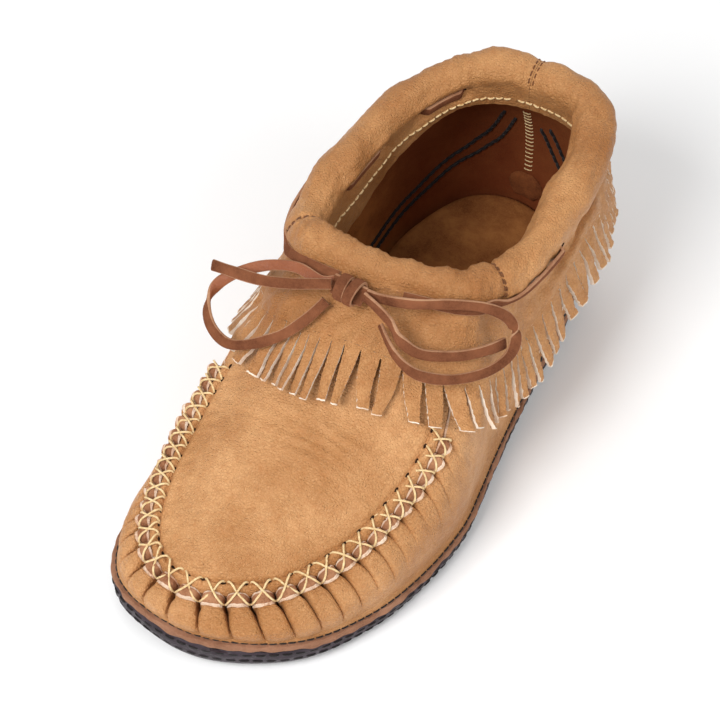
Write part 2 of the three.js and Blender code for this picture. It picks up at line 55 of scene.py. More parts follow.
SOLE_TOP = 11  # outsole and midsole together
TOE_SPRING = {"from": -55, "run": 70, "rise": 7}  # the sole curves up towards the toe
TOE_LIP = 1.8  # extra reach of the sole at the toe
MARGIN = 20  # width of the leather turned in under the foot
LEATHER = 2
CUFF_LEATHER = 1.6
GAP = 0.35  # clearance between two pieces
CREAM_THREAD = 0.4  # radius
DARK_THREAD = 0.4  # radius
STRAND_PITCH = 5.6
LACE_WIDTH = 4.2
LACE_THICK = 1.8
LACE_STEP = 0.7  # distance between the rings of the lace's mesh

# The vamp seam, by station: its two ends, the length of a cross stitch, the foot of the toe.
CROSSES = 32
SEAM = (6.85, 15.9)
STITCH_PITCH = [
    (6.85, 6.8), (8.2, 7.5), (9.2, 8), (10.3, 9.6), (11.6, 9.6), (12.6, 7.6), (13.3, 6.1)]
NEEDLE_LINE = 4.3  # distance of the needle holes from the edge of the plug
TOE_STATION = 11.5
THROAT_SPAN = 6.5
LONGEST_LOBES = 11.9

# Depth of the gathers, and how far down the wall they reach, by station.
FOLD_DEPTH = [(6.85, 0.8), (8.3, 1.5), (9.3, 3), (10.2, 5), (12.3, 5), (13, 3), (13.8, 1.5),
              (15.9, 0.8)]
FOLD_REACH = [(6.85, 0.7), (8.3, 0.5), (9.3, 0.25), (10.2, 0.02), (12.3, 0.02), (13, 0.25),
              (13.8, 0.55), (15.9, 0.75)]
SHALLOWEST, DEEPEST = 0.8, 5

# Upper edge of the heel counter, as a share of the wall, by distance from the back seam.
COUNTER_REACH = 3.6
COUNTER_EDGE = [
    (0, 0.78), (0.36, 0.76), (0.6, 0.5), (1, 0.36), (1.8, 0.25), (2.6, 0.19), (3.6, 0.13)]

# The cuff: radius of its roll, its three seams, the runs where the lace is inside, and levels
# over its section, which runs from 0 at the strand tips over the crest at 5 to 9 inside.
ROLL = 6.4
COLLAR_SEAMS = {"back": 0.2, "lateral": 4.6, "medial": 9.1}
LACE_INSIDE = [(1.3, 3.2), (10.65, 11.6), (12.35, 13.15)]
FLAP_EDGE = 1.0  # where the slits between the strands begin
SLOT_OUTSIDE = 2.7
SLOT_INSIDE = 7.58
TOPSTITCH = 8.3

# Stations round the shoe: sole edge x, y; top edge of the wrap x, y, z; roundness; bulge.
STATIONS = np.array([
    [0, 125, 0, 117, 86, 0.2, 5],
    [27, 113, 28, 110, 86, 0.2, 5],
    [39, 86, 42, 85, 84, 0.2, 4],
    [44, 50, 48, 54, 82, 0.2, 3],
    [48, 22, 46, 26, 82, 0.25, 3],
    [51, 4, 35, 4, 84, 0.35, 3],
    [54, -12, 42, -11, 67, 0.6, 4],
    [56.5, -30, 46, -27, 53, 0.8, 4],
    [54.4, -54, 43.5, -52, 42, 1, 4],
    [47.2, -80, 35.5, -78, 34.5, 1, 4.5],
    [31.8, -105, 20.5, -100.5, 30.5, 1, 5],
    [5, -121.5, -1, -113, 28.5, 1, 5],
    [-20, -122.5, -19, -113.5, 28, 1, 4],
    [-39, -114, -33, -104, 28.5, 0.9, 3],
    [-49, -92, -41.5, -83, 33, 0.8, 2],
    [-49, -64, -44.5, -55, 41, 0.7, 2],
    [-45, -38, -44, -33, 51, 0.6, 2],
    [-41, -14, -39, -14, 67, 0.5, 2],
    [-38.5, 4, -30, 2, 84, 0.35, 2],
    [-37, 24, -38, 24, 82, 0.25, 3],
    [-37, 56, -38, 54, 82, 0.2, 3],
    [-35, 88, -33, 82, 84, 0.2, 4],
    [-23, 116, -22, 107, 86, 0.2, 5],
])

# Height of the plug's crown above its edges, from the toe (0) to the throat (1).
CROWN = [(0, 1), (0.1, 3.5), (0.25, 7), (0.45, 11), (0.65, 15), (0.8, 15.5), (1, 10)]

# Collar stations: crest of the roll; waist; root and tip of the fringe; depth of the inner leaf.
COLLAR = np.array([
    [2, 110, 110, 0.5, 120.2, 87, 0, 127, 74, 0, 133, 51, 20],
    [32, 108, 110, 29.9, 113, 86, 34, 117, 74, 37, 121, 51, 20],
    [43.8, 84.5, 107.5, 44.8, 85.7, 84.5, 48.8, 86.5, 76, 55, 88.5, 56, 24],
    [47, 54, 104, 50.6, 54, 83, 52.8, 54, 75, 60, 54, 56, 36],
    [45, 28, 102, 49, 26, 86, 51.8, 26, 66, 60.5, 22, 46, 36],
    [39.5, 16.5, 101.8, 43.5, 11, 93, 50, 8, 66, 58, -2, 50, 28],
    [31, 8, 102, 34.5, 2, 96, 44, -11, 71, 53, -20, 59, 20],
    [3, 1, 104, 4, -6.5, 96.5, 6, -22, 82, 8.5, -41, 68, 15],
    [-20, 1.2, 102.6, -22, -5.8, 93.5, -18, -23.6, 79, -19, -43.5, 65.5, 17],
    [-31.2, 6.5, 101, -35, 1.5, 88.5, -37.5, -15.5, 71.5, -45, -29, 57, 24],
    [-35.4, 18, 99.5, -40.4, 18, 83, -43.4, 12, 69, -51, 4, 50, 34],
    [-37, 42, 100, -41, 44, 83, -44, 42, 69, -54, 40, 49, 36],
    [-33.4, 70.5, 103, -36.8, 76, 84, -41, 77, 71, -49, 80, 50, 26],
    [-21.2, 97, 107, -26.6, 105.4, 86, -29, 114, 73, -34.5, 119.5, 51, 20],
])

# Middle line of each limb of the bow.
BOW = {
    "loop_medial": [
        (-7, -13, 100), (-12, -15, 99), (-24, -12, 96), (-36, -13, 91), (-46, -18, 86),
        (-52, -24, 81), (-52, -31, 76), (-47, -36, 72), (-39, -38, 70), (-30, -36, 73),
        (-20, -31, 79), (-13, -25, 86), (-8, -18, 93)],
    "end_medial": [
        (-6, -17, 103), (-11, -19, 102), (-21, -22, 99), (-32, -23, 95), (-43, -22, 91),
        (-56, -20, 86)],
    "loop_lateral": [
        (7, -13, 101), (13, -13, 102), (24, -10, 103), (36, -3, 103), (46, 4, 100),
        (53, 9, 93), (57, 8, 86), (57, 4, 80), (54, -4, 78), (48, -12, 78), (41, -19, 80),
        (33, -24, 84), (24, -23, 88), (15, -18, 94)],
    "end_lateral": [
        (7, -16, 103), (12, -17, 102), (19, -18, 98), (25, -20, 93), (32, -18, 88),
        (41, -11, 85), (47, -5, 84), (51, 1, 83), (53, 7, 81)],
}
KNOT = (-0.5, -14, 99.6)  # its centre

# ---- Numbers and curves ----


def arrays(*values):
    """Arrays of floats, all brought to the same shape."""
    return np.broadcast_arrays(*(np.asarray(value, float) for value in values))


def mix(a, b, t):
    return a + (b - a) * t


def ramp(low, high, value):
    """Smooth step from 0 at low to 1 at high."""
    t = np.clip((value - low) / (high - low), 0, 1)
    return t * t * (3 - 2 * t)


def hill(value, centre, width):
    """Bell shape with its top of 1 at the centre."""
    return np.exp(-((value - centre) / width) ** 2)


def column(value):
    """Values with one more axis, so that they can multiply points."""
    return np.asarray(value)[..., None]


def unit(v):
    return v / np.linalg.norm(v, axis=-1, keepdims=True)


def curve(a, b, c, d, f):
    """Smooth curve from b to c, with a before them and d after them."""
    bend = (2 * a - 5 * b + 4 * c - d) * f ** 2
    twist = (3 * b - a - 3 * c + d) * f ** 3
    return 0.5 * (2 * b + (c - a) * f + bend + twist)


def along(rows, u, closed=True):
    """Smooth curve through rows of numbers, with the row number as its parameter."""
    rows, u = np.asarray(rows, float), np.asarray(u, float)
    count = len(rows)
    first = np.floor(u).astype(int)
    if not closed:
        first = np.clip(first, 0, count - 2)

    def row(k):
        return rows[k % count] if closed else rows[np.clip(k, 0, count - 1)]

    near = [row(first + k) for k in (-1, 0, 1, 2)]
    return curve(*near, column(u - first))


def table(pairs, at):
    """Read a table of (place, value) pairs at other places."""
    xs, ys = zip(*pairs)
    return np.interp(at, xs, ys)


def travelled(path):
    """Distance from the start of a polyline to each of its points."""
    steps = np.linalg.norm(np.diff(path, axis=0), axis=1)
    return np.concatenate([[0], np.cumsum(steps)])


def read_off(rows, at, wanted):
    """Points that are known at some places, read off at others."""
    return np.stack([np.interp(wanted, at, rows[:, k]) for k in range(3)], axis=1)


def circle(count):
    """Angles of points evenly round a circle."""
    return np.arange(count) / count * 2 * math.pi


def grid(us, vs):
    return np.meshgrid(us, vs, indexing="ij")


def rough(points, size, seed):
    """Smooth unevenness between about -1 and 1, with bumps of about that size."""
    random = np.random.default_rng(seed)
    total = 0
    for _ in range(7):
        wave = random.normal(size=3)
        wave *= 2 * math.pi / (np.linalg.norm(wave) * np.asarray(size))
        total = total + np.sin(points @ wave + random.uniform(0, 2 * math.pi))
    return total / 3


def outward(rows, u):
    """Horizontal direction out of the shoe from a closed run of stations."""
    step = along(rows, u + 0.01) - along(rows, u - 0.01)
    return unit(np.stack([-step[..., 1], step[..., 0], 0 * step[..., 0]], axis=-1))


def normals(surface, u, v):
    """Outward direction square to a surface."""
    step = 1e-3
    du = surface(u + step, v) - surface(u - step, v)
    dv = surface(u, v + step) - surface(u, v - step)
    return unit(np.cross(dv, du))


def lifted(surface, u, v, lift):
    """Points on a surface, moved off it along its outward normal."""
    u, v, lift = arrays(u, v, lift)
    return surface(u, v) + normals(surface, u, v) * column(lift)


# ---- Surfaces of the shoe ----

UP = np.array([0, 0, 1.0])


def spring(y):
    """Rise of the sole towards the toe."""
    t = np.clip((TOE_SPRING["from"] - y) / TOE_SPRING["run"], 0, 1)
    return TOE_SPRING["rise"] * t * t


def wall(u, v):
    """Outer face of the wrap: v is 0 at the sole edge, 1 at the top and -1 under the foot."""
    u, v = arrays(u, v)
    fx, fy, tx, ty, tz, roundness, bulge = np.moveaxis(along(STATIONS, u), -1, 0)
    out = outward(STATIONS, u)
    under = np.stack([fx, fy, 0 * fx], axis=-1) + out * column(np.minimum(v, 0) * MARGIN)
    foot = under + UP * column(SOLE_TOP + GAP + spring(under[..., 1]))
    v = np.maximum(v, 0)
    turn = v * math.pi / 2
    inwards = mix(v, 1 - np.cos(turn), roundness)
    upwards = mix(v, np.sin(turn), roundness)
    rise = np.stack([tx, ty, tz], axis=-1) - foot
    point = foot + rise * np.stack([inwards, inwards, upwards], axis=-1)
    return point + out * column(bulge * np.sin(math.pi * np.minimum(v, 1)))


def cuff(u, s):
    """Middle of the folded cuff leather, from the fringe tips (0) over the crest (5) to 9."""
    u, s = arrays(u, s)
    row = along(COLLAR, u)
    crest, waist, root, tip = (row[..., k:k + 3] for k in (0, 3, 6, 9))
    out = outward(COLLAR, u)

    def rolled(reach, drop):
        return crest + out * reach - UP * column(drop + 0 * u)

    profile = np.stack([
        tip, root, waist, rolled(ROLL, 6.5), rolled(0.65 * ROLL, 1.4), crest,
        rolled(-0.65 * ROLL, 1.4), rolled(-ROLL, 6), rolled(0.8 - ROLL, 13),
        rolled(-4.5, row[..., 12])], axis=-2)
    first = np.clip(np.floor(s).astype(int), 0, 8)

    def row_at(k):
        pick = np.clip(first + k, 0, 9)[..., None, None]
        return np.take_along_axis(profile, pick, axis=-2)[..., 0, :]

    return curve(*(row_at(k) for k in (-1, 0, 1, 2)), column(s - first))


def seam_edge(u):
    """Line where the wrap meets the plug."""
    return along(STATIONS, u)[..., 2:5]


def seam_counts():
    """Stations along the vamp seam, and the cross stitches passed at each of them."""
    us = np.linspace(*SEAM, 161)
    lengths = np.linalg.norm(np.diff(seam_edge(us), axis=0), axis=1)
    count = np.concatenate([[0], np.cumsum(lengths / table(STITCH_PITCH, us[1:]))])
    return us, count / count[-1] * CROSSES


SEAM_STATIONS, SEAM_COUNT = seam_counts()

# ---- Meshes ----

# Finish numbers of a sheet of leather: its outer face, its inner face and its cut edges.
FACE, BACK, CUT = range(3)


def place(piece, node=None, body="shoe"):
    """Let a finished piece ride on its body and stand for its CAD node."""
    if body:
        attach(piece, body)
    if node:
        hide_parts(node)


def add_object(name, data):
    piece = bpy.data.objects.new(name, data)
    bpy.context.scene.collection.objects.link(piece)
    return piece


def mesh_piece(name, points, faces, finishes, which=None, sharp=38):
    """Smooth-shaded object from points in millimetres, with a finish number for each face."""
    mesh = bpy.data.meshes.new(name)
    used = np.unique(np.concatenate([np.ravel(face) for face in faces]))
    fresh = np.full(len(points), -1)
    fresh[used] = np.arange(len(used))
    mesh.from_pydata(np.asarray(points)[used] * MM, [], [list(map(int, fresh[f])) for f in faces])
    for finish in finishes:
        mesh.materials.append(finish)
    mesh.polygons.foreach_set("use_smooth", [True] * len(mesh.polygons))
    if which is not None:
        mesh.polygons.foreach_set("material_index", [int(k) for k in which])
    mesh.set_sharp_from_angle(angle=math.radians(sharp))
    mesh.update()
    return add_object(name, mesh)


def shell(name, outer, inner, finishes, present=None, rows=FACE, endless=False, sharp=38):
    """Sheet of leather between two grids of points. Its three finishes are for the outer face,
    the inner face and the cut edges; `present` says which cells are leather, and `rows` gives
    some rows or cells of the outer face another finish."""
    width, height = outer.shape[:2]
    points = np.concatenate([outer.reshape(-1, 3), inner.reshape(-1, 3)])
    cells = width if endless else width - 1
    if present is None:
        present = np.ones((cells, height - 1), bool)
    i, j = np.nonzero(present)
    ahead = (i + 1) % width
    corners = [i * height + j, i * height + j + 1, ahead * height + j + 1, ahead * height + j]
    top = np.stack(corners, axis=1)
    lower = width * height
    faces = [top, top[:, ::-1] + lower]
    outer_marks = np.broadcast_to(rows, (cells, height - 1))
    which = [outer_marks[i, j], np.full(len(i), BACK)]
    for side, (di, dj) in enumerate([(-1, 0), (0, 1), (1, 0), (0, -1)]):
        a, b = i + di, j + dj
        if endless:
            a = a % cells
        inside = (a >= 0) & (a < cells) & (b >= 0) & (b < height - 1)
        open_side = ~(inside & present[np.clip(a, 0, cells - 1), np.clip(b, 0, height - 2)])
        start, end = corners[side][open_side], corners[(side + 1) % 4][open_side]
        faces.append(np.stack([end, start, start + lower, end + lower], axis=1))
        which.append(np.full(len(start), CUT))
    return mesh_piece(name, points, np.concatenate(faces), finishes, np.concatenate(which), sharp)


def frames(path, across, endless):
    """Side and up directions along a path whose width points along `across`."""
    if endless:
        ahead, behind = np.roll(path, -1, axis=0), np.roll(path, 1, axis=0)
    else:
        ahead = np.concatenate([path[1:], path[-1:]])
        behind = np.concatenate([path[:1], path[:-1]])
    tangent = unit(ahead - behind)
    up = unit(np.cross(tangent, np.broadcast_to(across, path.shape)))
    return np.cross(up, tangent), up


def tube_faces(count, size, endless=False):
    """Faces between rings of points that follow each other, then a cap at each end, if any."""
    i, k = grid(np.arange(count if endless else count - 1), np.arange(size))
    ahead, beside = (i + 1) % count, (k + 1) % size
    quads = [i * size + k, i * size + beside, ahead * size + beside, ahead * size + k]
    faces = list(np.stack(quads, axis=-1).reshape(-1, 4))
    if not endless:
        faces += [np.arange(size)[::-1], (count - 1) * size + np.arange(size)]
    return faces


def swept(name, path, across, section, finishes, which=(0,), endless=False, sharp=80):
    """Solid swept along a path. `section` holds (side, up) points, the same for every step
    or one set for each, and `which` the finish of each of its sides."""
    side, up = frames(path, across, endless)
    section = np.broadcast_to(section, (len(path),) + np.shape(section)[-2:])
    rings = path[:, None] + section[..., :1] * side[:, None] + section[..., 1:] * up[:, None]
    size = section.shape[1]
    faces = tube_faces(len(path), size, endless)
    marks = np.resize(which, len(faces))
    if not endless:
        marks[-2:] = max(which)
    return outward_faces(mesh_piece(name, rings.reshape(-1, 3), faces, finishes, marks, sharp))


def outward_faces(piece):
    """Turn a closed mesh so that its faces point out."""
    mesh = piece.data
    mesh.calc_loop_triangles()
    points = np.array([v.co for v in mesh.vertices])
    tris = np.array([t.vertices for t in mesh.loop_triangles])
    a, b, c = (points[tris[:, k]] for k in range(3))
    if np.einsum("ij,ij->i", a, np.cross(b, c)).sum() < 0:
        mesh.flip_normals()
    return piece


def joined(name, pieces):
    """One object out of several."""
    with bpy.context.temp_override(
            object=pieces[0], active_object=pieces[0], selected_editable_objects=pieces):
        bpy.ops.object.join()
    pieces[0].name = pieces[0].data.name = name
    return pieces[0]


def resampled(path, step, endless=False):
    """Points at even distances along a polyline."""
    path = np.asarray(path, float)
    if endless:
        path = np.concatenate([path, path[:1]])
    at = travelled(path)
    count = max(int(round(at[-1] / step)), 2)
    wanted = np.linspace(0, at[-1], count + 1)[:-1 if endless else None]
    return read_off(path, at, wanted)


def round_section(radius, angles):
    return np.stack([radius * np.cos(angles), radius * np.sin(angles)], axis=-1)


def thread(name, path, radius, finish, across=(0.3, 0.5, 0.8)):
    """Three-ply twisted thread along a path."""
    step, turn = 0.3, 9 * radius
    path = resampled(path, step)
    turns = np.arange(len(path)) * step / turn
    around = circle(9)
    reach = radius * (1 + 0.13 * np.cos(3 * around[None] - 2 * math.pi * turns[:, None]))
    return swept(name, path, across, round_section(reach, around), [finish])


def stitches(name, row, radius, finish, length, gap, across=(0, 0, 1)):
    """Row of separate stitches: each rises out of the leather and dips back into it.
    The row holds its points, and for each one the direction that points into the leather."""
    points, inwards = row
    at = travelled(points)
    t = np.linspace(0, 1, 9)
    dip = column((2 * t - 1) ** 6 * radius)
    made = []
    start = gap
    while start + length < at[-1]:
        where = start + length * t
        line = read_off(points, at, where) + read_off(inwards, at, where) * dip
        made.append(swept(name, line, across, round_section(radius, circle(8)), [finish]))
        start += length + gap
    return joined(name, made)


# ---- Finishes ----


class Finish:
    """A material being built out of nodes."""

    def __init__(self, name):
        self.material = bpy.data.materials.new(name)
        self.material.use_nodes = True
        self.tree = self.material.node_tree
        self.shader = self.tree.nodes["Principled BSDF"]
        self.position = self.node("ShaderNodeTexCoord").outputs["Object"]

    def feed(self, node, inputs):
        """Link or set the inputs of a node."""
        for key, value in inputs.items():
            if isinstance(value, bpy.types.NodeSocket):
                self.tree.links.new(value, node.inputs[key])
            else:
                node.inputs[key].default_value = value

    def node(self, kind, inputs=None, **settings):
        node = self.tree.nodes.new(kind)
        for key, value in settings.items():
            setattr(node, key, value)
        self.feed(node, inputs or {})
        return node

    def stretched(self, scale):
        return self.node("ShaderNodeMapping", {"Vector": self.position, "Scale": scale}).outputs[0]

    def noise(self, scale, detail=3, roughness=0.55, where=None, distortion=0):
        return self.node("ShaderNodeTexNoise", {
            "Vector": where or self.position, "Scale": scale, "Detail": detail,
            "Roughness": roughness, "Distortion": distortion}).outputs["Fac"]

    def cells(self, scale, feature="F1"):
        return self.node("ShaderNodeTexVoronoi", {
            "Vector": self.position, "Scale": scale}, feature=feature).outputs["Distance"]

    def levels(self, value, low, high, start=0.0, end=1.0):
        return self.node("ShaderNodeMapRange", {
            "Value": value, "From Min": low, "From Max": high, "To Min": start, "To Max": end,
        }).outputs[0]

    def mixed(self, amount, a, b):
        inputs = {"Factor": amount, 6: a, 7: b}
        return self.node("ShaderNodeMix", inputs, data_type="RGBA").outputs[2]

    def tinted(self, colour, tone, most, value, low, high):
        """Colour that takes on up to `most` of a tone as a value goes from low to high."""
        return self.mixed(self.levels(value, low, high, 0, most), colour, tone)

    def bump(self, height, distance, strength, under=None):
        inputs = {"Height": height, "Distance": distance, "Strength": strength}
        if under:
            inputs["Normal"] = under
        return self.node("ShaderNodeBump", inputs).outputs[0]

    def done(self, colour, roughness, normal, specular, sheen=0.0, sheen_tint=(1, 1, 1, 1)):
        self.feed(self.shader, {
            "Base Color": colour, "Roughness": roughness, "Normal": normal,
            "Specular IOR Level": specular, "Sheen Weight": sheen, "Sheen Tint": sheen_tint})
        return self.material


def rgb(red, green, blue):
    """Linear colour from an ordinary 0 to 255 one."""
    def linear(value):
        value /= 255
        return value / 12.92 if value <= 0.04045 else ((value + 0.055) / 1.055) ** 2.4
    return (linear(red), linear(green), linear(blue), 1.0)


def tan_leather(name, light, deep, grain=1.0):
    """Soft tanned grain leather: short ribs that change direction from patch to patch,
    pebbles, pores with a deeper tone, and cloudy colour."""
    f = Finish(name)
    clouds = f.levels(f.noise(24, 5, 0.6), 0.35, 0.65)
    lengthwise = f.noise(1, 3, 0.6, f.stretched((1900, 650, 1300)), 0.3)
    crosswise = f.noise(1, 3, 0.6, f.stretched((650, 1900, 1300)), 0.3)
    ribs = f.mixed(f.levels(f.noise(65, 2), 0.44, 0.56), lengthwise, crosswise)
    creases = f.cells(820, feature="DISTANCE_TO_EDGE")
    pores = f.noise(2200, 3, 0.75)
    veins = f.noise(210, 4, 0.6)
    ruddy = f.mixed(0.55, deep, rgb(170, 98, 40))
    colour = f.mixed(clouds, light, deep)
    colour = f.tinted(colour, ruddy, 0.3, veins, 0.45, 0.7)
    colour = f.tinted(colour, ruddy, 0.35, ribs, 0.5, 0.7)
    colour = f.tinted(colour, ruddy, 0.35, creases, 0.12, 0.0)
    colour = f.tinted(colour, ruddy, 0.25, pores, 0.52, 0.72)
    colour = f.tinted(colour, light, 0.4, ribs, 0.46, 0.3)
    soft = f.bump(f.noise(95, 3, 0.5), 0.0028, 0.5)
    ribbed = f.bump(ribs, 0.0008, 0.8 * grain, soft)
    pebbled = f.bump(f.levels(creases, 0, 0.3), 0.0006, 0.45 * grain, ribbed)
    fine = f.bump(pores, 0.0004, 0.35 * grain, pebbled)
    roughness = f.levels(f.noise(300, 2), 0.3, 0.7, 0.42, 0.58)
    return f.done(colour, roughness, fine, specular=0.42, sheen=0.02)


def suede(name, light, dark, nap=1.0, sheen=0.35, heel=None):
    """Napped suede: short soft fibres, cloudy where the nap is brushed both ways. `heel` is
    a darker colour painted in towards the heel, for the shade deep inside the heel."""
    f = Finish(name)
    clouds = f.levels(f.noise(75, 5, 0.65), 0.35, 0.65)
    fibres = f.noise(1500, 4, 0.7, distortion=0.6)
    colour = f.mixed(clouds, light, dark)
    colour = f.tinted(colour, light, 0.6, fibres, 0.4, 0.7)
    if heel:
        # Painted shade: the colour darkens towards the heel, where little light gets into the shoe.
        back = f.node("ShaderNodeSeparateXYZ", {"Vector": f.position}).outputs["Y"]
        colour = f.tinted(colour, heel, 0.85, back, 0.05, 0.09)
    brushed = f.bump(f.noise(240, 4, 0.6), 0.0007, 0.5 * nap)
    fuzzy = f.bump(fibres, 0.0004, 0.9 * nap, brushed)
    return f.done(colour, 0.95, fuzzy, specular=0.12, sheen=sheen, sheen_tint=light)


def sole_leather():
    """Near-black leather with a low gloss, creased where it was pulled over the sole edge."""
    f = Finish("near_black_leather")
    clouds = f.levels(f.noise(60, 4), 0.35, 0.65)
    colour = f.mixed(clouds, rgb(40, 29, 36), rgb(58, 45, 54))
    colour = f.tinted(colour, rgb(98, 80, 90), 0.4, f.noise(700, 5, 0.8), 0.56, 0.78)
    creased = f.bump(f.noise(1, 5, 0.6, f.stretched((90, 90, 300)), 1.2), 0.0012, 0.6)
    pebbled = f.bump(f.cells(1000, feature="SMOOTH_F1"), 0.0004, 0.5, creased)
    roughness = f.levels(f.noise(420, 3), 0.3, 0.7, 0.42, 0.62)
    return f.done(colour, roughness, pebbled, specular=0.4)


def waxed_thread(name, light, deep):
    f = Finish(name)
    colour = f.mixed(f.levels(f.noise(700, 3, 0.7), 0.35, 0.7), light, deep)
    fuzz = f.bump(f.noise(3200, 3, 0.7), 0.00012, 0.7)
    return f.done(colour, 0.6, fuzz, specular=0.3, sheen=0.1)


def foam():
    f = Finish("soft_foam")
    pores = f.cells(900)
    colour = f.mixed(f.levels(pores, 0.1, 0.6), rgb(196, 182, 130), rgb(226, 214, 170))
    return f.done(colour, 0.95, f.bump(pores, 0.0004, 0.8), specular=0.1)


TAN = tan_leather("tan_grain_leather", rgb(220, 166, 112), rgb(176, 121, 68))
CUFF_TAN = tan_leather("tan_cuff_leather", rgb(204, 149, 94), rgb(160, 105, 54))
# Darker tan leather for painted shade in the valleys between the gathers at the toe.
TAN_PAINTED_SHADE = tan_leather("tan_leather_painted_fold_shade", rgb(172, 118, 68), rgb(136, 86, 44))
TAN_FLESH = suede("tan_leather_flesh_side", rgb(150, 104, 72), rgb(112, 72, 48))
TAN_EDGE = suede("cut_leather_edge", rgb(250, 238, 222), rgb(222, 188, 158), 1.2)
RAW_END = suede("gathered_raw_edge", rgb(190, 138, 102), rgb(128, 78, 52), 1.6)
RAW_RIM = suede("gathered_edge_fibres", rgb(246, 226, 204), rgb(206, 156, 120), 1.6)
# Its heel colour is painted shade deep inside the heel.
LINING = suede("brown_suede_lining", rgb(190, 122, 64), rgb(128, 72, 32), 1.0, 0.2,
               heel=rgb(104, 42, 22))
SOCK = suede("brown_suede_insole", rgb(172, 112, 62), rgb(118, 68, 34), 1.0, 0.2)
# Suede of the heel tab, darker than the lining: painted shade deep inside the heel.
TAB_IN_SHADE = suede("heel_tab_suede_painted_shade", rgb(138, 80, 44), rgb(92, 48, 26), 1.0, 0.2)
LACE = suede("brown_suede_lace", rgb(138, 86, 58), rgb(90, 50, 32), 1.3)
LACE_SMOOTH = tan_leather("lace_smooth_side", rgb(158, 94, 60), rgb(124, 66, 42), 0.5)
LACE_EDGE = suede("lace_cut_edge", rgb(186, 142, 110), rgb(140, 92, 64), 1.2)
MIDSOLE_SUEDE = suede("midsole_raw_suede", rgb(166, 122, 96), rgb(126, 86, 64), 1.4)
SOLE = sole_leather()
CREAM = waxed_thread("cream_waxed_thread", rgb(236, 212, 164), rgb(206, 168, 112))
BLACK = waxed_thread("black_thread", rgb(34, 28, 28), rgb(16, 13, 13))
TAN_THREAD = waxed_thread("tan_thread", rgb(126, 76, 38), rgb(86, 50, 24))
# Near-black suede for painted shadow: the mouths of needle holes and slots, and the gap round the
# heel tab.
HOLE_SHADOW = suede("needle_hole_shadow", rgb(52, 34, 24), rgb(30, 20, 14), 0.5, 0.0)
FOAM = foam()


# ---- Camera ----


def add_camera():
    """Camera in front of the toe and above it, towards the outer side of the foot."""
    azimuth, elevation = math.radians(30.98), math.radians(52.02)
    distance = 1.03627
    target = Vector((0, 0, 0.040))
    level = math.cos(elevation)
    back = Vector((
        math.sin(azimuth) * level, -math.cos(azimuth) * level, math.sin(elevation)))
    data = bpy.data.cameras.new("camera")
    data.lens = 135.75
    data.sensor_width = 36
    data.shift_x = -0.0142
    data.shift_y = 0.0085
    camera = add_object("camera", data)
    camera.location = target + back * distance
    camera.rotation_euler = back.to_track_quat("Z", "Y").to_euler()
    bpy.context.scene.camera = camera


# ---- Lace ----


def ribbon_section(width, thick):
    """Section of a thong: flat with soft corners, and a little full in the middle."""
    angles = circle(20) + math.pi / 20

    def squared(value, power):
        return np.sign(value) * np.abs(value) ** power

    x = squared(np.cos(angles), 0.45) * width / 2
    y = squared(np.sin(angles), 0.6) * thick / 2
    return np.stack([x, y * (1 - 0.12 * (x * 2 / width) ** 2)], axis=-1)


# Finish of each side of that section: napped face 0, other face 1, cut edges 2.
RIBBON_SIDES = [2, 2] + [0] * 6 + [2] * 4 + [1] * 6 + [2, 2]


def thong(name, path, across, smooth_side=LACE, endless=False, width=LACE_WIDTH):
    """Suede thong along a path: napped faces, paler cut edges, and a gently uneven width."""
    path = resampled(path, LACE_STEP, endless)
    across = np.asarray(across, float)
    if across.ndim == 2:
        steps = np.arange(len(across))
        across = read_off(across, steps, np.linspace(0, steps[-1], len(path)))
    waver = 1 + 0.05 * rough(path, 14, len(name))
    section = ribbon_section(width, LACE_THICK)[None] * column(column(waver))
    finishes = [LACE, smooth_side, LACE_EDGE]
    return swept(name, path, across, section, finishes, RIBBON_SIDES, endless, sharp=55)


def add_bow():
    """Two loops and two free ends, each on its own side of the knot."""
    across = {"medial": (0, 0.6, 0.8), "lateral": (-0.4, 0.2, 0.9)}
    for limb, rows in BOW.items():
        side = limb.split("_")[1]
        path = along(rows, np.linspace(0, len(rows) - 1, 16 * len(rows)), closed=False)
        smooth_side = LACE_SMOOTH if limb == "loop_medial" else LACE
        piece = thong(f"bow_{limb}", path, across[side], smooth_side)
        place(piece, f"lace_{limb}", f"bow_{side}")


# The camera and the cords come before every other piece.
add_camera()
add_bow()


def add_knot():
    """Two wraps of the thong round the crossing of the bow."""
    turns = circle(60)
    wraps = []
    for k, offset in enumerate((-2.3, 2.2)):
        tall, deep = 6.2 - 0.3 * k, 4.4 + 0.2 * k
        lean = 0.7 + 0.08 * k
        y = deep * np.cos(turns)
        z = tall * np.sin(turns)
        ring = np.stack([
            offset + 0.8 * np.sin(turns + k), y * math.cos(lean) - z * math.sin(lean),
            y * math.sin(lean) + z * math.cos(lean)], axis=1) + KNOT
        wraps.append(thong(f"knot_wrap_{k}", ring, (1, 0, 0), endless=True))
    middle = [(-6.5, 0, 0), (-3, -0.4, 0.6), (0, 0, 0.8), (3, -0.4, 0.6), (6.5, 0, 0)]
    path = along(np.array(middle) + KNOT, np.linspace(0, 4, 30), closed=False)
    heart = thong("knot_heart", path, (0, 0.6, 0.8), width=7.5)
    place(joined("knot", [heart] + wraps), "lace_knot")


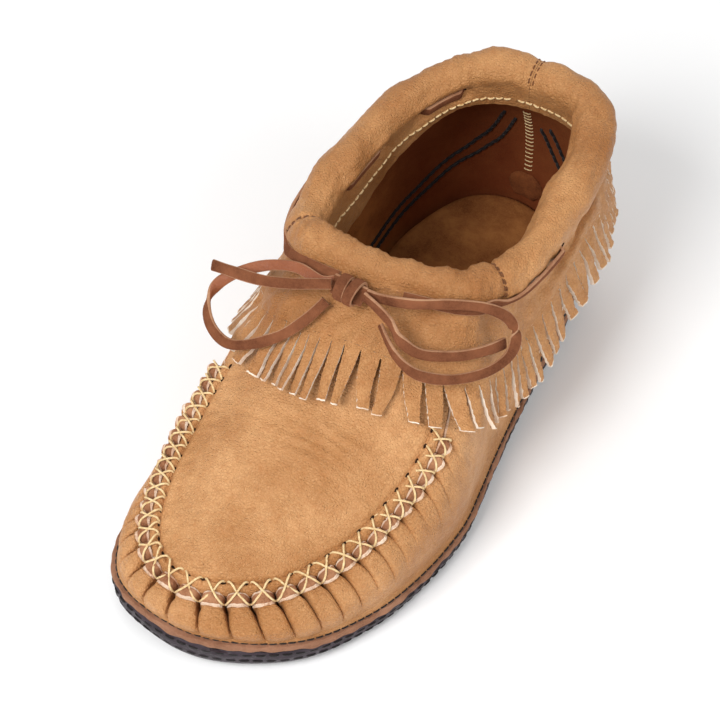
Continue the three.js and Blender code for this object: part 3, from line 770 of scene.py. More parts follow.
def add_collar_run():
    """The thong round the collar, outside it except between each pair of slots."""
    count = len(COLLAR)
    reach = count / 2 - 0.4  # the knot takes up the rest
    turn = 0.045  # half the way through a slot
    pairs = [[u - count if u > count / 2 else u for u in pair] for pair in LACE_INSIDE]
    bends = sorted(u for pair in pairs for u in pair)
    stops = [-reach] + [b + side * turn for b in bends for side in (-1, 1)] + [reach]
    outside = CUFF_LEATHER / 2 + LACE_THICK / 2 + 0.4
    path, across = [], []
    for start, end in zip(stops[::2], stops[1::2]):
        inside = any(start > a and end < b for a, b in pairs)
        us = np.linspace(start, end, max(int((end - start) / 0.02), 3))
        sunk = 1 - ramp(0, 0.08, np.minimum(us - start, end - us))
        near_knot = np.clip((np.abs(us) - 4) / (reach - 4), 0, 1)
        level = mix(SLOT_INSIDE if inside else SLOT_OUTSIDE, 2, np.minimum(2 * near_knot, 1))
        off = 0.7 - 2.2 * sunk if inside else outside + 1.2 * near_knot
        path.append(lifted(cuff, us, level, off))
        ahead = cuff(us, level + (-0.1 if inside else 0.1))
        across.append(unit(ahead - cuff(us, level)))
    path, across = np.concatenate(path), np.concatenate(across)
    at = travelled(path)
    even = np.linspace(0, at[-1], int(at[-1] / LACE_STEP))
    run = thong("lace_run", read_off(path, at, even), read_off(across, at, even))
    place(run, "lace_collar_run")


# ---- Upper ----


def seam_state(u):
    """Stitches passed at a station, how far it lies from a needle hole (0) to the middle of a
    lobe (1), and whether the seam is cross stitched there."""
    phase = np.interp(u, SEAM_STATIONS, SEAM_COUNT)
    lobe = np.abs(np.sin(math.pi * phase)) ** 0.7
    on = ramp(SEAM[0] - 0.12, SEAM[0], u) * (1 - ramp(SEAM[1], SEAM[1] + 0.12, u))
    return phase, lobe, on


def gathered(u, q):
    """Outer face of the wrap with its gathers. q runs from 1 to 2 over the raw cut end."""
    u, q = arrays(u, q)
    v = np.minimum(q, 1)
    over = np.clip(q - 1, 0, 1)
    base = wall(u, v)
    out = outward(STATIONS, u)
    phase, lobe, on = seam_state(u)
    below = np.linalg.norm(base - wall(u, np.ones_like(u)), axis=-1)

    # Folds down the wall, with a narrow valley at each needle hole.
    depth = table(FOLD_DEPTH, u)
    reach = table(FOLD_REACH, u) * (0.75 + 0.25 * np.sin(1.7 * np.floor(phase) + 0.5))
    fall = np.clip((v - reach) / (1 - reach), 0, 1)
    toe = np.clip((depth - SHALLOWEST) / (DEEPEST - SHALLOWEST), 0, 1)
    nearest = np.abs(phase - np.round(phase))
    barrel = (1 - (1 - 2 * nearest) ** 3.4) ** 0.5
    lip = mix(lobe, barrel, 0.3 + 0.6 * toe)
    fold = on * depth * fall ** 0.6 * (barrel - 0.72)
    fold -= on * (1 + 2.6 * toe) * hill(nearest, 0, 0.1) * hill(below, 3.6, 2.6)
    away = normals(wall, u, np.clip(v, 0.02, 0.9))
    shape = base + away * column(fold)

    # The raw end: a lobe swells out between two holes and is pulled in at each of them.
    pull = on * hill(below, 0, 3.4) * (v > 0)
    rim_out = mix(0.3, 4.4 + 0.4 * np.sin(2.3 * np.floor(phase)), lip)
    rim_up = mix(-2.4, mix(0.2, -0.3, toe), lip)
    end_out = mix(-0.2, -0.5, lip)
    end_up = mix(-0.9, 1.1, lip)
    fibres = 0.3 * rough(base + out * column(3 * over), 1.6, 9)
    dome = lip * (1.3 * np.sin(math.pi * over) + fibres)
    away_out = pull * mix(rim_out, end_out, over)
    away_up = pull * (mix(rim_up, end_up, over) + dome)
    plain = (1 - on) * over
    shape = shape + out * column(away_out - 1.6 * plain) + UP * column(away_up)

    # Fine wrinkles, slow unevenness, and the flare where the wall leaves the sole.
    wrinkle = 0.2 * fall * on * np.sin(below * 3.6 + 1.4 * rough(base, (3, 3, 9), 3))
    swell = 0.6 * rough(base, 34, 5) * np.clip(v, 0, 1) * (1 - over)
    crease = 0.22 * rough(base * [1, 1, 0.35], 7, 6) * np.clip(v * 3, 0, 1) * (1 - over)
    up_wall = np.linalg.norm(base - wall(u, np.zeros_like(u)), axis=-1)
    flare = 1.7 * hill(up_wall, 0, 1.7) * (v >= 0)
    return shape + away * column(wrinkle * lobe + swell + crease) + out * column(flare)


def add_wrap():
    """One leather from under the foot up the sides, gathered to the plug round the toe."""
    seam = np.interp(np.linspace(0, CROSSES, 22 * CROSSES + 1), SEAM_COUNT, SEAM_STATIONS)
    lateral = np.linspace(0.02, SEAM[0] - 0.02, 150)
    medial = np.linspace(SEAM[1] + 0.02, len(STATIONS) - 0.02, 150)
    us = np.concatenate([lateral, seam, medial])
    vs = np.concatenate([
        [-1, -0.5, -0.06, 0], np.linspace(0.04, 0.7, 40), np.linspace(0.72, 0.985, 26),
        [1], np.linspace(1.1, 2, 10)])
    u, q = grid(us, vs)
    outer = gathered(u, q)
    phase, _, on = seam_state(u)
    depth = table(FOLD_DEPTH, u)
    behind = on * ramp(0.1, 0.7, q) * (1.5 + 1.2 * depth)
    inner = lifted(wall, u, np.minimum(q, 1), -LEATHER - behind)
    over = column(np.clip(q - 1, 0, 1))
    inner = np.where(over > 0, outer * [1, 1, 0] + inner * [0, 0, 1] - UP * 0.5, inner)
    rim, valley = 3, 4
    rows = np.select([vs < 0.97, (vs < 1.05) | (vs > 1.75)], [FACE, rim], CUT)[:-1]
    # Painted shade: faces deep in each fold valley, in a band that widens towards the toe, get
    # finish 4, a darker copy of the tan leather.
    foot = mix(0.9, 0.35, (depth - SHALLOWEST) / (DEEPEST - SHALLOWEST))
    width = (0.015 + 0.01 * depth) * np.sqrt(np.clip((q - foot) / (1 - foot), 0, 1))
    fold_shade_mask = (np.abs(phase - np.round(phase)) < width) & (on > 0.5) & (q < 1.05)
    marks = np.where(fold_shade_mask[:, :-1], valley, rows)
    piece = shell("wrap", outer, inner, [TAN, LINING, RAW_END, RAW_RIM, TAN_PAINTED_SHADE], rows=marks,
                  endless=True, sharp=50)
    place(piece, "moccasin_wrap")


def softened(rows, reach):
    """Running average of a grid along its first axis."""
    padded = np.concatenate([rows[:1].repeat(reach, 0), rows, rows[-1:].repeat(reach, 0)])
    sums = np.cumsum(np.concatenate([0 * padded[:1], padded]), axis=0)
    width = 2 * reach + 1
    return (sums[width:] - sums[:-width]) / width


def plug_grid():
    """Stations round the plug's edge, and distances in from it: the points between them fan
    from the seam to the spine of the plug."""
    half = np.linspace(0, THROAT_SPAN, 420)
    us = np.concatenate([TOE_STATION - half[::-1], TOE_STATION + half[1:]])
    near = np.concatenate([np.arange(0.35, 6.5, 0.4), [7, 8, 9.2]])
    share = np.abs(us - TOE_STATION) / THROAT_SPAN
    core = 0.17
    spine_at = core + (1 - core) * share

    def middle(at):
        return (seam_edge(TOE_STATION + THROAT_SPAN * at)
                + seam_edge(TOE_STATION - THROAT_SPAN * at)) / 2

    spine = middle(spine_at)
    slope = middle(spine_at + 0.01) - middle(spine_at - 0.01)
    up = unit(np.stack([0 * share, -slope[:, 2], slope[:, 1]], axis=1))
    edge = seam_edge(us)
    span = np.linalg.norm(spine - edge, axis=1)
    far = np.linspace(0, 1, 30)[1:] ** 1.1
    t = np.concatenate([near[None] / span[:, None],
                        mix(near[-1] / span[:, None], 1, far[None])], axis=1)
    crown = column(table(CROWN, spine_at)) * (1 - np.abs(1 - t) ** 2.2)
    base = mix(edge[:, None], spine[:, None], column(t)) + up[:, None] * column(crown)
    toe = column(hill(us, TOE_STATION, 1.6)[:, None] * ramp(0.3, 0.85, t))
    base = mix(base, softened(base, 26), toe)  # no peak where the points fan in at the toe
    inward = t * span[:, None]
    return us, base, inward, up


def add_plug():
    """The leather on top of the foot: a soft rim along the needle holes, ripples at the throat."""
    us, base, inward, up = plug_grid()
    phase, lobe, on = (column(value) for value in seam_state(us))
    puff = np.sin(math.pi * np.clip((inward - 0.2) / 3.9, 0, 1)) ** 0.8
    rise = on * puff * mix(0.15, 1.9, lobe)
    rise -= on * hill(inward, NEEDLE_LINE, 0.7) * mix(1.3, 0.5, lobe)
    rise += on * 0.5 * hill(inward, 6, 1.4)
    rise -= on * hill(inward, 0, 0.8) * mix(0.9, 0.2, lobe)
    y = base[..., 1]
    field = ramp(6, 16, inward)
    ripple = np.sin(2 * math.pi * (y + 1.5 * rough(base, (26, 26, 26), 11)) / 4.6)
    rise += field * 0.3 * ripple * hill(y, -52, 10) * (0.6 + 0.4 * rough(base, 18, 2))
    rise += field * (0.55 * rough(base, 46, 21) + 0.16 * rough(base, (30, 9, 30), 8))
    rise += (1 - field) * ramp(4.5, 6, inward) * 0.18 * np.cos(2 * math.pi * phase) * on
    outer = base + up[:, None] * column(rise)
    inner = base + up[:, None] * column(np.minimum(rise, 0) - LEATHER)
    piece = shell("plug", outer, inner, [TAN, LINING, TAN_FLESH], sharp=60)
    weld(piece)
    place(piece, "vamp_plug")
    add_needle_holes(us, base, up, inward)


def weld(piece):
    """Join points that lie on each other."""
    mesh = piece.data
    work = bmesh.new()
    work.from_mesh(mesh)
    bmesh.ops.remove_doubles(work, verts=work.verts, dist=2e-5)
    work.to_mesh(mesh)
    work.free()


def dark_pit(centre, forward, up, length, width):
    """Small dark oval of painted shadow, which reads as the mouth of a hole."""
    t = np.linspace(-1, 1, 11)
    line = centre + column(t) * forward * length / 2
    taper = np.sqrt(np.clip(1.02 - t ** 2, 0.02, 1))
    oval = round_section(1, circle(12)) * [width / 2, 0.5]
    return swept("pit", line, np.cross(up, forward), oval * column(column(taper)), [HOLE_SHADOW])


def add_needle_holes(us, base, up, inward):
    """Dark ovals of painted shadow where the lacing thread goes down through the plug."""
    made = []
    for k in range(CROSSES + 1):
        station = np.interp(k, SEAM_COUNT, SEAM_STATIONS)
        i = int(np.argmin(np.abs(us - station)))
        j = int(np.argmin(np.abs(inward[i] - NEEDLE_LINE)))
        forward = unit(seam_edge(station + 0.02) - seam_edge(station - 0.02))
        made.append(dark_pit(base[i, j] - up[i] * 0.85, forward, up[i], 2.4, 1.4))
    place(joined("needle_holes", made))


def seam_local(u, out, up):
    """Point beside the seam, out from its edge line and up from it."""
    return seam_edge(u) + outward(STATIONS, u) * column(out) + UP * column(up)


def thread_knot(at):
    """Tight coil that ties off the lacing, with a short tail."""
    turns = np.linspace(0, 3 * 2 * math.pi, 80)
    coil = at + np.stack([
        1.1 * np.cos(turns), turns * 0.14 - 0.6, 0.9 + 1.1 * np.sin(turns)], axis=1)
    tail = coil[-1] + column(np.linspace(0.1, 1, 12)) * np.array([1.5, 3.2, -0.4])
    return thread("tie", np.concatenate([coil, tail]), CREAM_THREAD, CREAM, across=(0, 1, 0.1))


def add_lacing():
    """Two passes of waxed thread that cross over every lobe of the seam."""
    # Share of the way from a needle hole in the plug to a pit in the wrap, out from the seam, up.
    crossing = [(0, -4.4, 0.6), (0.14, -3.5, 2.7), (0.3, -2.0, 3.3), (0.5, 0.2, 2.7),
                (0.7, 2.4, 2.6), (0.86, 3.4, 1.1), (0.95, 3.0, -0.8), (1, 1.8, -2.6)]
    returning = [(1 - t, out, up) for t, out, up in crossing[::-1]]
    for name, first, over in (("first", 0, 0.0), ("return", 1, 0.75)):
        rows = []
        for k in range(CROSSES):
            way = crossing if (k + first) % 2 == 0 else returning
            for t, out, up in way[:-1] if k < CROSSES - 1 else way:
                station = np.interp(k + t, SEAM_COUNT, SEAM_STATIONS)
                on_plug = min(max((1 - out) / 4, 0), 1)
                lift = over * hill(t, 0.5, 0.16) + 2.9 * on_plug * hill(station, LONGEST_LOBES, 1.9)
                rows.append(seam_local(station, out, up + lift))
        path = along(np.array(rows), np.linspace(0, len(rows) - 1, 12 * len(rows)), closed=False)
        piece = thread(f"lacing_{name}_pass", path, CREAM_THREAD, CREAM)
        if name == "first":
            piece = joined(f"lacing_{name}_pass", [piece, thread_knot(path[0])])
        place(piece, f"seam_lacing_{name}_pass")


# ---- Heel ----

INSIDE_WALL = -LEATHER - GAP - 0.1  # lift that brings a thread just inside the wrap
TAB_LEVELS = (0.08, 0.24)  # foot and top of the heel tab, as shares of the wall
TAB_WIDTHS = [(0, 0.17), (0.25, 0.27), (0.5, 0.3), (0.75, 0.27), (0.93, 0.18), (1, 0.1)]
TAB_BACK = 2.4  # depth of the tab's hidden face inside the wall


def counter_point(u, t):
    """Wall point at a share of the way up the heel counter, by distance from the back seam."""
    u, t = arrays(u, t)
    return wall(u % len(STATIONS), mix(0.05, table(COUNTER_EDGE, np.abs(u)), t))


def wall_row(us, closer, lower, lift):
    """Line of stitching inside the counter's edge, with the direction into the leather."""
    reach = np.abs(us) + closer
    nearby = [table(COUNTER_EDGE, reach + d) for d in (-0.1, -0.05, 0, 0.05, 0.1)]
    v = np.maximum(np.mean(nearby, axis=0) - lower, 0.1)
    at = us % len(STATIONS)
    points = lifted(wall, at, v, lift)
    into = unit(lifted(wall, at, v, -1) - lifted(wall, at, v, 0))
    return points, into if lift > 0 else -into


def add_counter():
    """Overlay outside the heel, thinned towards its upper edge and the ends of its wings."""
    u, t = grid(np.linspace(-COUNTER_REACH, COUNTER_REACH, 170), np.linspace(0, 1, 36))
    face = lifted(counter_point, u, t, 0)
    away = normals(counter_point, u, t)
    thin_top = np.clip((1 - t) / 0.06, 0.35, 1)
    thin_wing = np.clip((COUNTER_REACH - np.abs(u)) / 0.2, 0.3, 1)
    seam = hill(u, 0, 0.05) * 0.9
    lift = 0.5 + 1.6 * thin_top * thin_wing + 0.25 * rough(face, 22, 4) - seam
    piece = shell("counter", face + away * column(lift), face + away * 0.35,
                  [TAN, TAN_FLESH, TAN_EDGE], sharp=50)
    place(piece, "heel_counter")


def add_counter_stitching():
    """Two rows on each side of the back seam, seen both inside and outside."""
    for side, sign in (("lateral", 1), ("medial", -1)):
        for row, closer, lower in (("outer", 0.04, -0.02), ("inner", 0.2, 0.035)):
            us = sign * np.linspace(0.4 - closer, 3.1, 200)
            line = wall_row(us, closer, lower, INSIDE_WALL)
            inside = stitches("inside", line, 0.7, BLACK, length=3.2, gap=0.3)
            us = sign * np.linspace(0.7, 3.1, 200)
            line = wall_row(us, closer, lower + 0.055, 2.25)
            outside = stitches("outside", line, 0.35, BLACK, length=2.6, gap=1.0)
            place(joined(f"counter_stitches_{side}_{row}", [inside, outside]),
                  f"counter_stitching_{side}_{row}_row")


def add_ladder():
    """Rungs of thread across the back seam, inside the heel."""
    half = 0.06
    beside = np.linspace(-half, half, 14)
    sag = INSIDE_WALL - 0.1 + 0.5 * (beside / half) ** 6
    rungs = []
    for v in np.linspace(0.27, 0.78, 17):
        line = lifted(wall, beside % len(STATIONS), v + 0.05 * beside, sag)
        rungs.append(thread("rung", line, 0.24, CREAM, across=(0, 0.2, 1)))
    place(joined("ladder", rungs), "back_seam_ladder_stitch")


def add_heel_tab():
    """Rounded suede lobe inside the heel, at the foot of the back seam."""
    a, t = grid(np.linspace(-1, 1, 30), np.linspace(0, 1, 30))
    station = (a * table(TAB_WIDTHS, t)) % len(STATIONS)
    face = wall(station, mix(*TAB_LEVELS, t))
    away = normals(wall, station, mix(*TAB_LEVELS, t))
    plump = np.clip(1 - np.maximum(np.abs(a), np.abs(2 * t - 1)) ** 6, 0, 1)
    outer = face - away * column(TAB_BACK + 1.6 * plump)
    # The tab's cut edges get the near-black finish: painted shadow in the gap round the tab.
    piece = shell("heel_lobe", outer, face - away * TAB_BACK, [TAB_IN_SHADE, LINING, HOLE_SHADOW])
    place(outward_faces(piece), "heel_tab")


# ---- Collar ----

COLLAR_PIECES = [
    ("lateral", COLLAR_SEAMS["back"], COLLAR_SEAMS["lateral"]),
    ("front", COLLAR_SEAMS["lateral"], COLLAR_SEAMS["medial"]),
    ("medial", COLLAR_SEAMS["medial"], len(COLLAR) + COLLAR_SEAMS["back"]),
]


def round_collar(u, station):
    """Stations from one station to others, the short way round the collar."""
    count = len(COLLAR)
    return (u - station + count / 2) % count - count / 2


def lace_bed(u, s):
    """Lift of the leather where the lace lies in it, with lips above and below the lace."""
    lift = 0 * u
    for start, end in LACE_INSIDE:
        half = (end - start) / 2
        beside = np.abs(round_collar(u, (start + end) / 2))
        run = 1 - ramp(half, half + 0.2, beside)
        bed = hill(s, SLOT_INSIDE, 0.34)
        lips = hill(s, SLOT_INSIDE - 0.75, 0.3) + hill(s, SLOT_INSIDE + 0.65, 0.28)
        mouth = hill(beside, half, 0.1) * hill(s, SLOT_INSIDE, 0.45)
        lift = lift + run * (0.8 * lips - 1.3 * bed) - 0.8 * mouth
    return lift


def draped(u, s):
    """Middle of the cuff leather: puffed round the foam, tucked in at its three seams, and
    wrinkled where it hangs below them."""
    u, s = arrays(u, s)
    point = cuff(u, s)
    away = normals(cuff, u, s)
    to_seam = np.min([np.abs(round_collar(u, seam)) for seam in COLLAR_SEAMS.values()], axis=0)
    roll = ramp(2.2, 3, s) * (1 - ramp(6.6, 7.4, s))
    tuck = -1.3 * roll * hill(to_seam, 0, 0.11)
    puff = roll * (0.9 * rough(point, 30, 31) + 0.5 * rough(point, 12, 32) + 0.5)
    crease = -0.8 * hill(s, 2, 0.16)
    skirt = (1 - ramp(1.7, 2.3, s)) * ramp(0.2, 1, s)
    wrinkles = 0.45 * rough(point * [1, 1, 0.5], (5, 5, 16), 33) + 0.9 * rough(point, 17, 34)
    wrinkles += 0.9 * hill(s, 1.22, 0.2) - 0.7 * hill(s, 1.62, 0.16)
    gathers = 0.5 * hill(s, 2.4, 0.6) * rough(point * [1, 1, 0.25], 5, 35)
    gathers += 0.16 * rough(point, (3.2, 3.2, 6), 36)
    lift = tuck + puff + crease + skirt * wrinkles + gathers + lace_bed(u, s)
    return point + away * column(lift)


def add_collar():
    """The three cuff leathers, each with its foam roll; their outer leaves end at the fringe."""
    levels = np.concatenate([
        np.linspace(FLAP_EDGE, 2.4, 24), np.linspace(2.44, 2.96, 9), np.linspace(3.02, 7.14, 56),
        np.linspace(7.2, 8, 12), np.linspace(8.08, 9, 14)])
    for name, start, end in COLLAR_PIECES:
        us = np.linspace(start + 0.002, end - 0.002, int((end - start) * 24) + 1)
        u, s = grid(us, levels)
        middle = draped(u, s)
        half = normals(cuff, u, s) * column(CUFF_LEATHER / 2 - 0.2 * hill(s, 9, 0.05))
        piece = shell(f"cuff_{name}", middle + half, middle - half,
                      [CUFF_TAN, TAN_FLESH, TAN_FLESH], sharp=55)
        place(piece, f"collar_{name}")
        add_padding(name, start, end)
    add_slots()
    add_collar_stitching()


def add_slots():
    """Dark ovals of painted shadow at the mouths of the slots where the lace dives through the
    leather.
    """
    made = []
    for slot in [u for pair in LACE_INSIDE for u in pair]:
        for level in (SLOT_INSIDE, SLOT_OUTSIDE):
            away = normals(cuff, slot, level)
            forward = unit(cuff(slot + 0.02, level) - cuff(slot - 0.02, level))
            centre = draped(slot, level) + away * (CUFF_LEATHER / 2 - 0.25)
            made.append(dark_pit(centre, forward, away, 5.2, 4.4))
    place(joined("slot_mouths", made))


def add_padding(name, start, end):
    """Foam roll under the crest of the cuff, as full as the leather lets it be."""
    u, s = grid(np.linspace(start + 0.06, end - 0.06, 60), np.linspace(3.2, 6.8, 24))
    middle = draped(u, s)
    away = normals(cuff, u, s)
    piece = shell(f"foam_{name}", middle - away * 1.4, middle - away * 3.0, [FOAM] * 3)
    place(piece, f"collar_padding_{name}")


def surface_row(us, level, lift):
    """Line along the cuff at one level, with the direction into the leather."""
    points = draped(us, level) + normals(cuff, us, level) * lift
    return points, -normals(cuff, us, level)


def add_collar_stitching():
    """Top stitching round the inner leaf, and two short rows over each seam of the cuff."""
    us = np.linspace(0, len(COLLAR) - 0.02, 900)
    line = surface_row(us, np.full_like(us, TOPSTITCH), CUFF_LEATHER / 2 + 0.25)
    row = stitches("topstitch", line, CREAM_THREAD, CREAM, length=2.3, gap=0.9)
    place(row, "collar_topstitching")
    levels = np.linspace(2.3, 6.9, 160)
    for name, seam in COLLAR_SEAMS.items():
        rows = []
        for beside in (-0.03, 0.03):
            line = surface_row(np.full_like(levels, seam + beside), levels, CUFF_LEATHER / 2 + 0.12)
            rows.append(stitches("row", line, 0.3, TAN_THREAD, length=1.9, gap=1.1,
                                 across=(0.6, 0.6, 0.3)))
        place(joined(f"seam_stitches_{name}", rows), f"collar_seam_stitch_{name}")


# ---- Fringe ----

STRAND_FACES = [CUFF_TAN, TAN_FLESH, TAN_EDGE]

# Each comb: its name, first and last station, widest slit in millimetres, curl of its strands.
COMBS = [
    ("lateral_heel", 0.2, 2.07, 1.6, 0.5),
    ("lateral_side", 2.07, 4.6, 1.8, 0.7),
    ("front_lateral", 4.6, 6.17, 2.4, 1.4),
    ("front", 6.17, 8.17, 2.8, 0.8),
    ("front_medial", 8.17, 9.1, 2.2, 1.0),
    ("medial_side", 9.1, 11.97, 1.8, 0.8),
    ("medial_heel", 11.97, 14.2, 1.6, 0.5),
]
ACROSS = 7  # grid lines across each strand
WHOLE_ROWS = 2  # rows of cells above the slits


def comb_grid(start, end, slit, seed):
    """Stations and levels of a comb: strands that narrow towards their tips, side by side."""
    random = np.random.default_rng(seed)
    roots = cuff(np.linspace(start, end, 40), 1)
    length = travelled(roots)[-1]
    count = max(int(round(length / STRAND_PITCH)), 3)
    pitch = (end - start) / count
    per_mm = pitch / (length / count)
    slit_root = 0.94
    levels = np.concatenate([[FLAP_EDGE, 0.97, slit_root], np.linspace(0.9, 0, 26)])
    down = ramp(0.02, 1, 1 - levels)
    columns, tips, sways = [], [], []
    for k in range(count):
        centre = start + (k + 0.5) * pitch + per_mm * random.uniform(-1.4, 1.4) * down ** 2
        tight = per_mm * slit * random.uniform(0.55, 1.1)
        spread = np.linalg.norm(cuff(centre + 0.02, levels) - cuff(centre - 0.02, levels), axis=-1)
        widening = np.maximum(spread / spread[0], 1)
        cut = np.where(levels >= slit_root, 0.002, 0.03) * pitch
        half = (pitch / 2 - cut - tight / 2 * down) / widening
        for c in np.linspace(-1, 1, ACROSS):
            columns.append(centre + c * half)
        tips.append(random.uniform(-0.09, 0.07))
        sways.append((random.uniform(-1, 1), random.uniform(-0.4, 1.0)))
    u = np.array(columns)
    tip = np.repeat(tips, ACROSS)[:, None]
    s = levels[None] + tip * (1 - levels[None]) ** 2
    return count, u, s, levels, np.repeat(np.array(sways), ACROSS, axis=0)


def add_fringe():
    """Combs of cut strands, which bend away from the shoe from their roots."""
    for order, (name, start, end, slit, curl) in enumerate(COMBS):
        count, u, s, levels, sways = comb_grid(start, end, slit, 40 + order)
        middle = draped(u, s)
        away = normals(cuff, u, np.maximum(s, 0.02))
        down = ((1 - levels) ** 1.6)[None]
        c = np.tile(np.linspace(-1, 1, ACROSS), count)[:, None]
        bow = 0.35 * (1 - c ** 2) * ramp(0.1, 0.6, 1 - levels)[None]
        roll = sways[:, :1] * curl * 1.1 * c * down
        flare = curl * sways[:, 1:] * 1.8 * down
        dents = 0.25 * rough(middle, (8, 8, 6), 60 + order) * down ** 0.5
        middle = middle + away * column(bow + roll + flare + dents)
        half = CUFF_LEATHER / 2
        present = np.ones((u.shape[0] - 1, len(levels) - 1), bool)
        slits = np.arange(1, count) * ACROSS - 1
        present[slits, WHOLE_ROWS:] = False
        rows = [FACE] * (len(levels) - 2) + [CUT]
        piece = shell(f"strands_{name}", middle + away * half, middle - away * half, STRAND_FACES,
                      present, rows, sharp=50)
        roughen(piece, order)
        root, tip = (cuff((start + end) / 2, level) * MM for level in (1, 0.55))
        place(piece, f"fringe_{name}", body=None)
        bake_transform(piece)


def roughen(piece, seed):
    """Slight unevenness, which keeps cut edges from being quite straight."""
    mesh = piece.data
    points = np.array([v.co for v in mesh.vertices])
    shift = rough(points / MM, (1.6, 1.6, 1.6), 90 + seed) * 0.12 * MM
    points = points + column(shift)
    mesh.vertices.foreach_set("co", points.ravel())
    mesh.update()


# ---- Sole ----

SOLE_RING = np.linspace(0, len(STATIONS), 900, endpoint=False)

# Sections of the sole pieces: reach beyond the sole edge, height, and share of the toe spring.
OUTSOLE = [
    (-5, 0, 0.35), (-3, 0.02, 0.35), (-1, 0.15, 0.36), (0.3, 0.7, 0.4), (1.1, 1.5, 0.5),
    (1.8, 2.6, 0.63), (2.2, 3.6, 0.76), (2.45, 4.6, 0.87), (2.5, 5.5, 0.94), (2.4, 6.4, 1),
    (2.2, 7.0, 1), (1.8, 7.35, 1), (1.0, 7.3, 1), (0.3, 7.0, 1), (-0.4, 5, 1), (-0.8, 3.4, 1)]
MIDSOLE = [
    (0.6, 7.6), (1.6, 7.55), (2.5, 7.8), (3.0, 8.5), (3.15, 9.4), (2.95, 10.4), (2.5, 10.95),
    (1.4, 11)]
INSOLE = [
    (-4.6, 0), (-3.6, 0.3), (-3.2, 1.3), (-3.4, 2.1), (-4.4, 2.6), (-6, 2.62), (-12, 2.62)]
INSOLE_FOOT = SOLE_TOP + GAP + LEATHER + GAP
STITCH_ROWS = {"upper": 5.9, "lower": 3.2}  # heights of the two rows on the outsole


def ring_points(offset, height, flatten=1.0, lip=0.0):
    """Ring round the sole at an offset from the sole edge and a height in the sole."""
    x, y = np.moveaxis(along(STATIONS, SOLE_RING)[..., :2], -1, 0)
    reach = offset + lip * spring(y) / TOE_SPRING["rise"]
    point = np.stack([x, y, 0 * x], axis=-1) + outward(STATIONS, SOLE_RING) * column(reach)
    return point + UP * column(height + spring(point[..., 1]) * flatten)


def disc(name, rings, finish, sharp=40):
    """Closed solid through rings, capped flat at its first and last ring."""
    faces = tube_faces(len(rings), len(rings[0]))
    return outward_faces(mesh_piece(name, np.concatenate(rings), faces, [finish], sharp=sharp))


def add_outsole():
    """Leather cup, grooved where its two rows of stitches pull it in."""
    edge = ring_points(0, 0) * [1, 1, 0]
    rings = []
    for reach, height, flatten in OUTSOLE:
        side = ramp(0.6, 2.4, reach) * ramp(0.3, 2, height)
        crease = 0.28 * side * rough(edge + UP * height * 2.2, (16, 16, 9), 71)
        groove = -0.25 * side * sum(hill(height, row, 0.5) for row in STITCH_ROWS.values())
        wave = 0.45 * ramp(6, 7, height) * rough(edge, (14, 14, 9), 72)
        lip = TOE_LIP * ramp(-1, 0.6, reach) * (1 - 0.5 * ramp(6, 7, height))
        rings.append(ring_points(reach + crease + groove, height + wave, flatten, lip))
    place(disc("outsole_cup", rings, SOLE), "outsole")


def add_midsole():
    """Thin suede board whose raw edge bulges out over the outsole."""
    edge = ring_points(0, 0) * [1, 1, 0]
    rings = []
    for reach, height in MIDSOLE:
        side = ramp(1, 3, reach)
        nibble = 0.35 * side * rough(edge + UP * height, (6, 6, 4), 73)
        wave = 0.8 * rough(edge, (17, 17, 13), 74) * (1 - ramp(7.6, 9, height)) * side
        rings.append(ring_points(reach + nibble, height + wave, lip=TOE_LIP / 2 * side))
    place(disc("midsole_strip", rings, MIDSOLE_SUEDE), "midsole")


def add_insole():
    """Suede faced board inside the shoe, with a rounded rim."""
    unevenness = 0.25 * rough(ring_points(0, 0), 30, 75)
    rings = [ring_points(reach, INSOLE_FOOT + height + unevenness * ramp(2, 2.6, height))
             for reach, height in INSOLE]
    place(disc("sock", rings, SOCK, sharp=70), "insole")


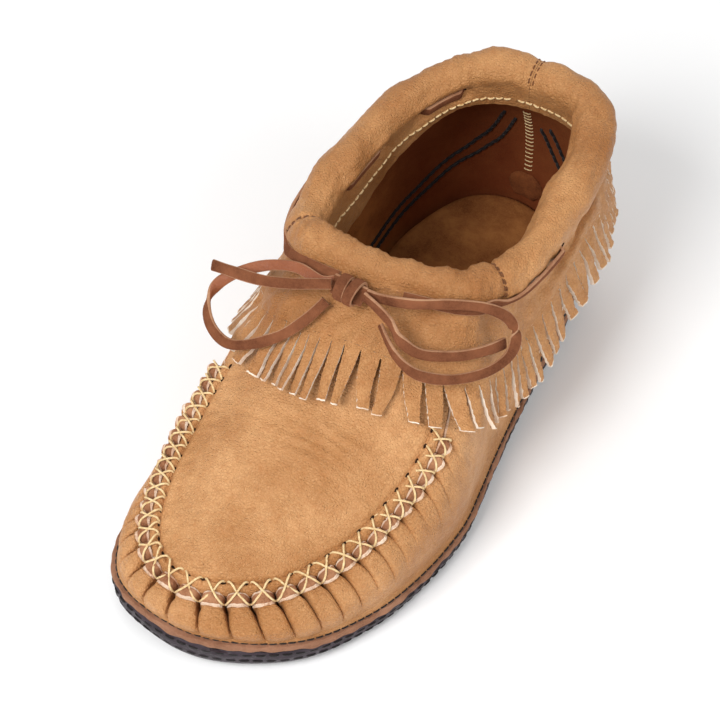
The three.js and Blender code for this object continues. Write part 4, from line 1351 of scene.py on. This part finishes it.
def add_sole_stitching():
    """Two rows on the side of the outsole and one on the midsole, close to the wrap."""
    into = -outward(STATIONS, SOLE_RING)
    for name, reach, flatten in (("upper", 2.4, 0.97), ("lower", 2.0, 0.7)):
        ring = ring_points(reach, STITCH_ROWS[name], flatten, TOE_LIP)
        row = stitches(f"sole_{name}", (ring, into), DARK_THREAD, BLACK, length=3.4, gap=1.6)
        place(row, f"outsole_stitching_{name}")
    ring = ring_points(1.9, SOLE_TOP + 0.5)
    welt = stitches("welt", (ring, into), 0.3, BLACK, length=2.6, gap=0.9)
    place(welt)


def finish_hidden_layers():
    """Cushion and filler, closed in on all sides, keep their plain shapes."""
    for node in ("sole_cushion", "margin_filler"):
        for slot in bpy.data.objects[node].material_slots:
            slot.material = FOAM


# ---- Studio ----


def add_floor():
    floor = bpy.data.meshes.new("floor")
    floor.from_pydata([(-3, -3, 0), (3, -3, 0), (3, 3, 0), (-3, 3, 0)], [], [(0, 1, 2, 3)])
    stage = add_object("floor", floor)
    paper = Finish("pale_paper")
    tone = paper.levels(paper.noise(3, 2), 0.3, 0.7, 0.93, 0.95)
    tooth = paper.bump(paper.noise(900, 2), 0.0001, 0.1)
    floor.materials.append(paper.done(tone, 0.9, tooth, specular=0.1))


def add_world():
    world = bpy.data.worlds.new("studio")
    world.use_nodes = True
    background = world.node_tree.nodes["Background"]
    background.inputs["Color"].default_value = (1, 1, 1, 1)
    background.inputs["Strength"].default_value = 0.52
    bpy.context.scene.world = world
    bpy.context.scene.view_settings.view_transform = "Standard"


def add_lights():
    # Place, size and strength of each soft box.
    for name, spot, size, power in (
            ("key", (-0.12, -0.75, 0.95), 0.5, 10.5), ("fill", (1.4, -0.2, 1.0), 1.2, 9),
            ("back", (-0.9, 0.9, 1.4), 1.0, 4)):
        light = bpy.data.lights.new(name, "AREA")
        light.energy = power
        light.size = size
        lamp = add_object(name, light)
        lamp.location = spot
        aim = Vector(spot) - Vector((0, 0, 0.05))
        lamp.rotation_euler = aim.to_track_quat("Z", "Y").to_euler()


add_knot()
add_collar_run()
add_wrap()
add_plug()
add_lacing()
add_counter()
add_counter_stitching()
add_ladder()
add_heel_tab()
add_collar()
add_fringe()
add_outsole()
add_midsole()
add_insole()
add_sole_stitching()
finish_hidden_layers()
add_floor()
add_world()
add_lights()
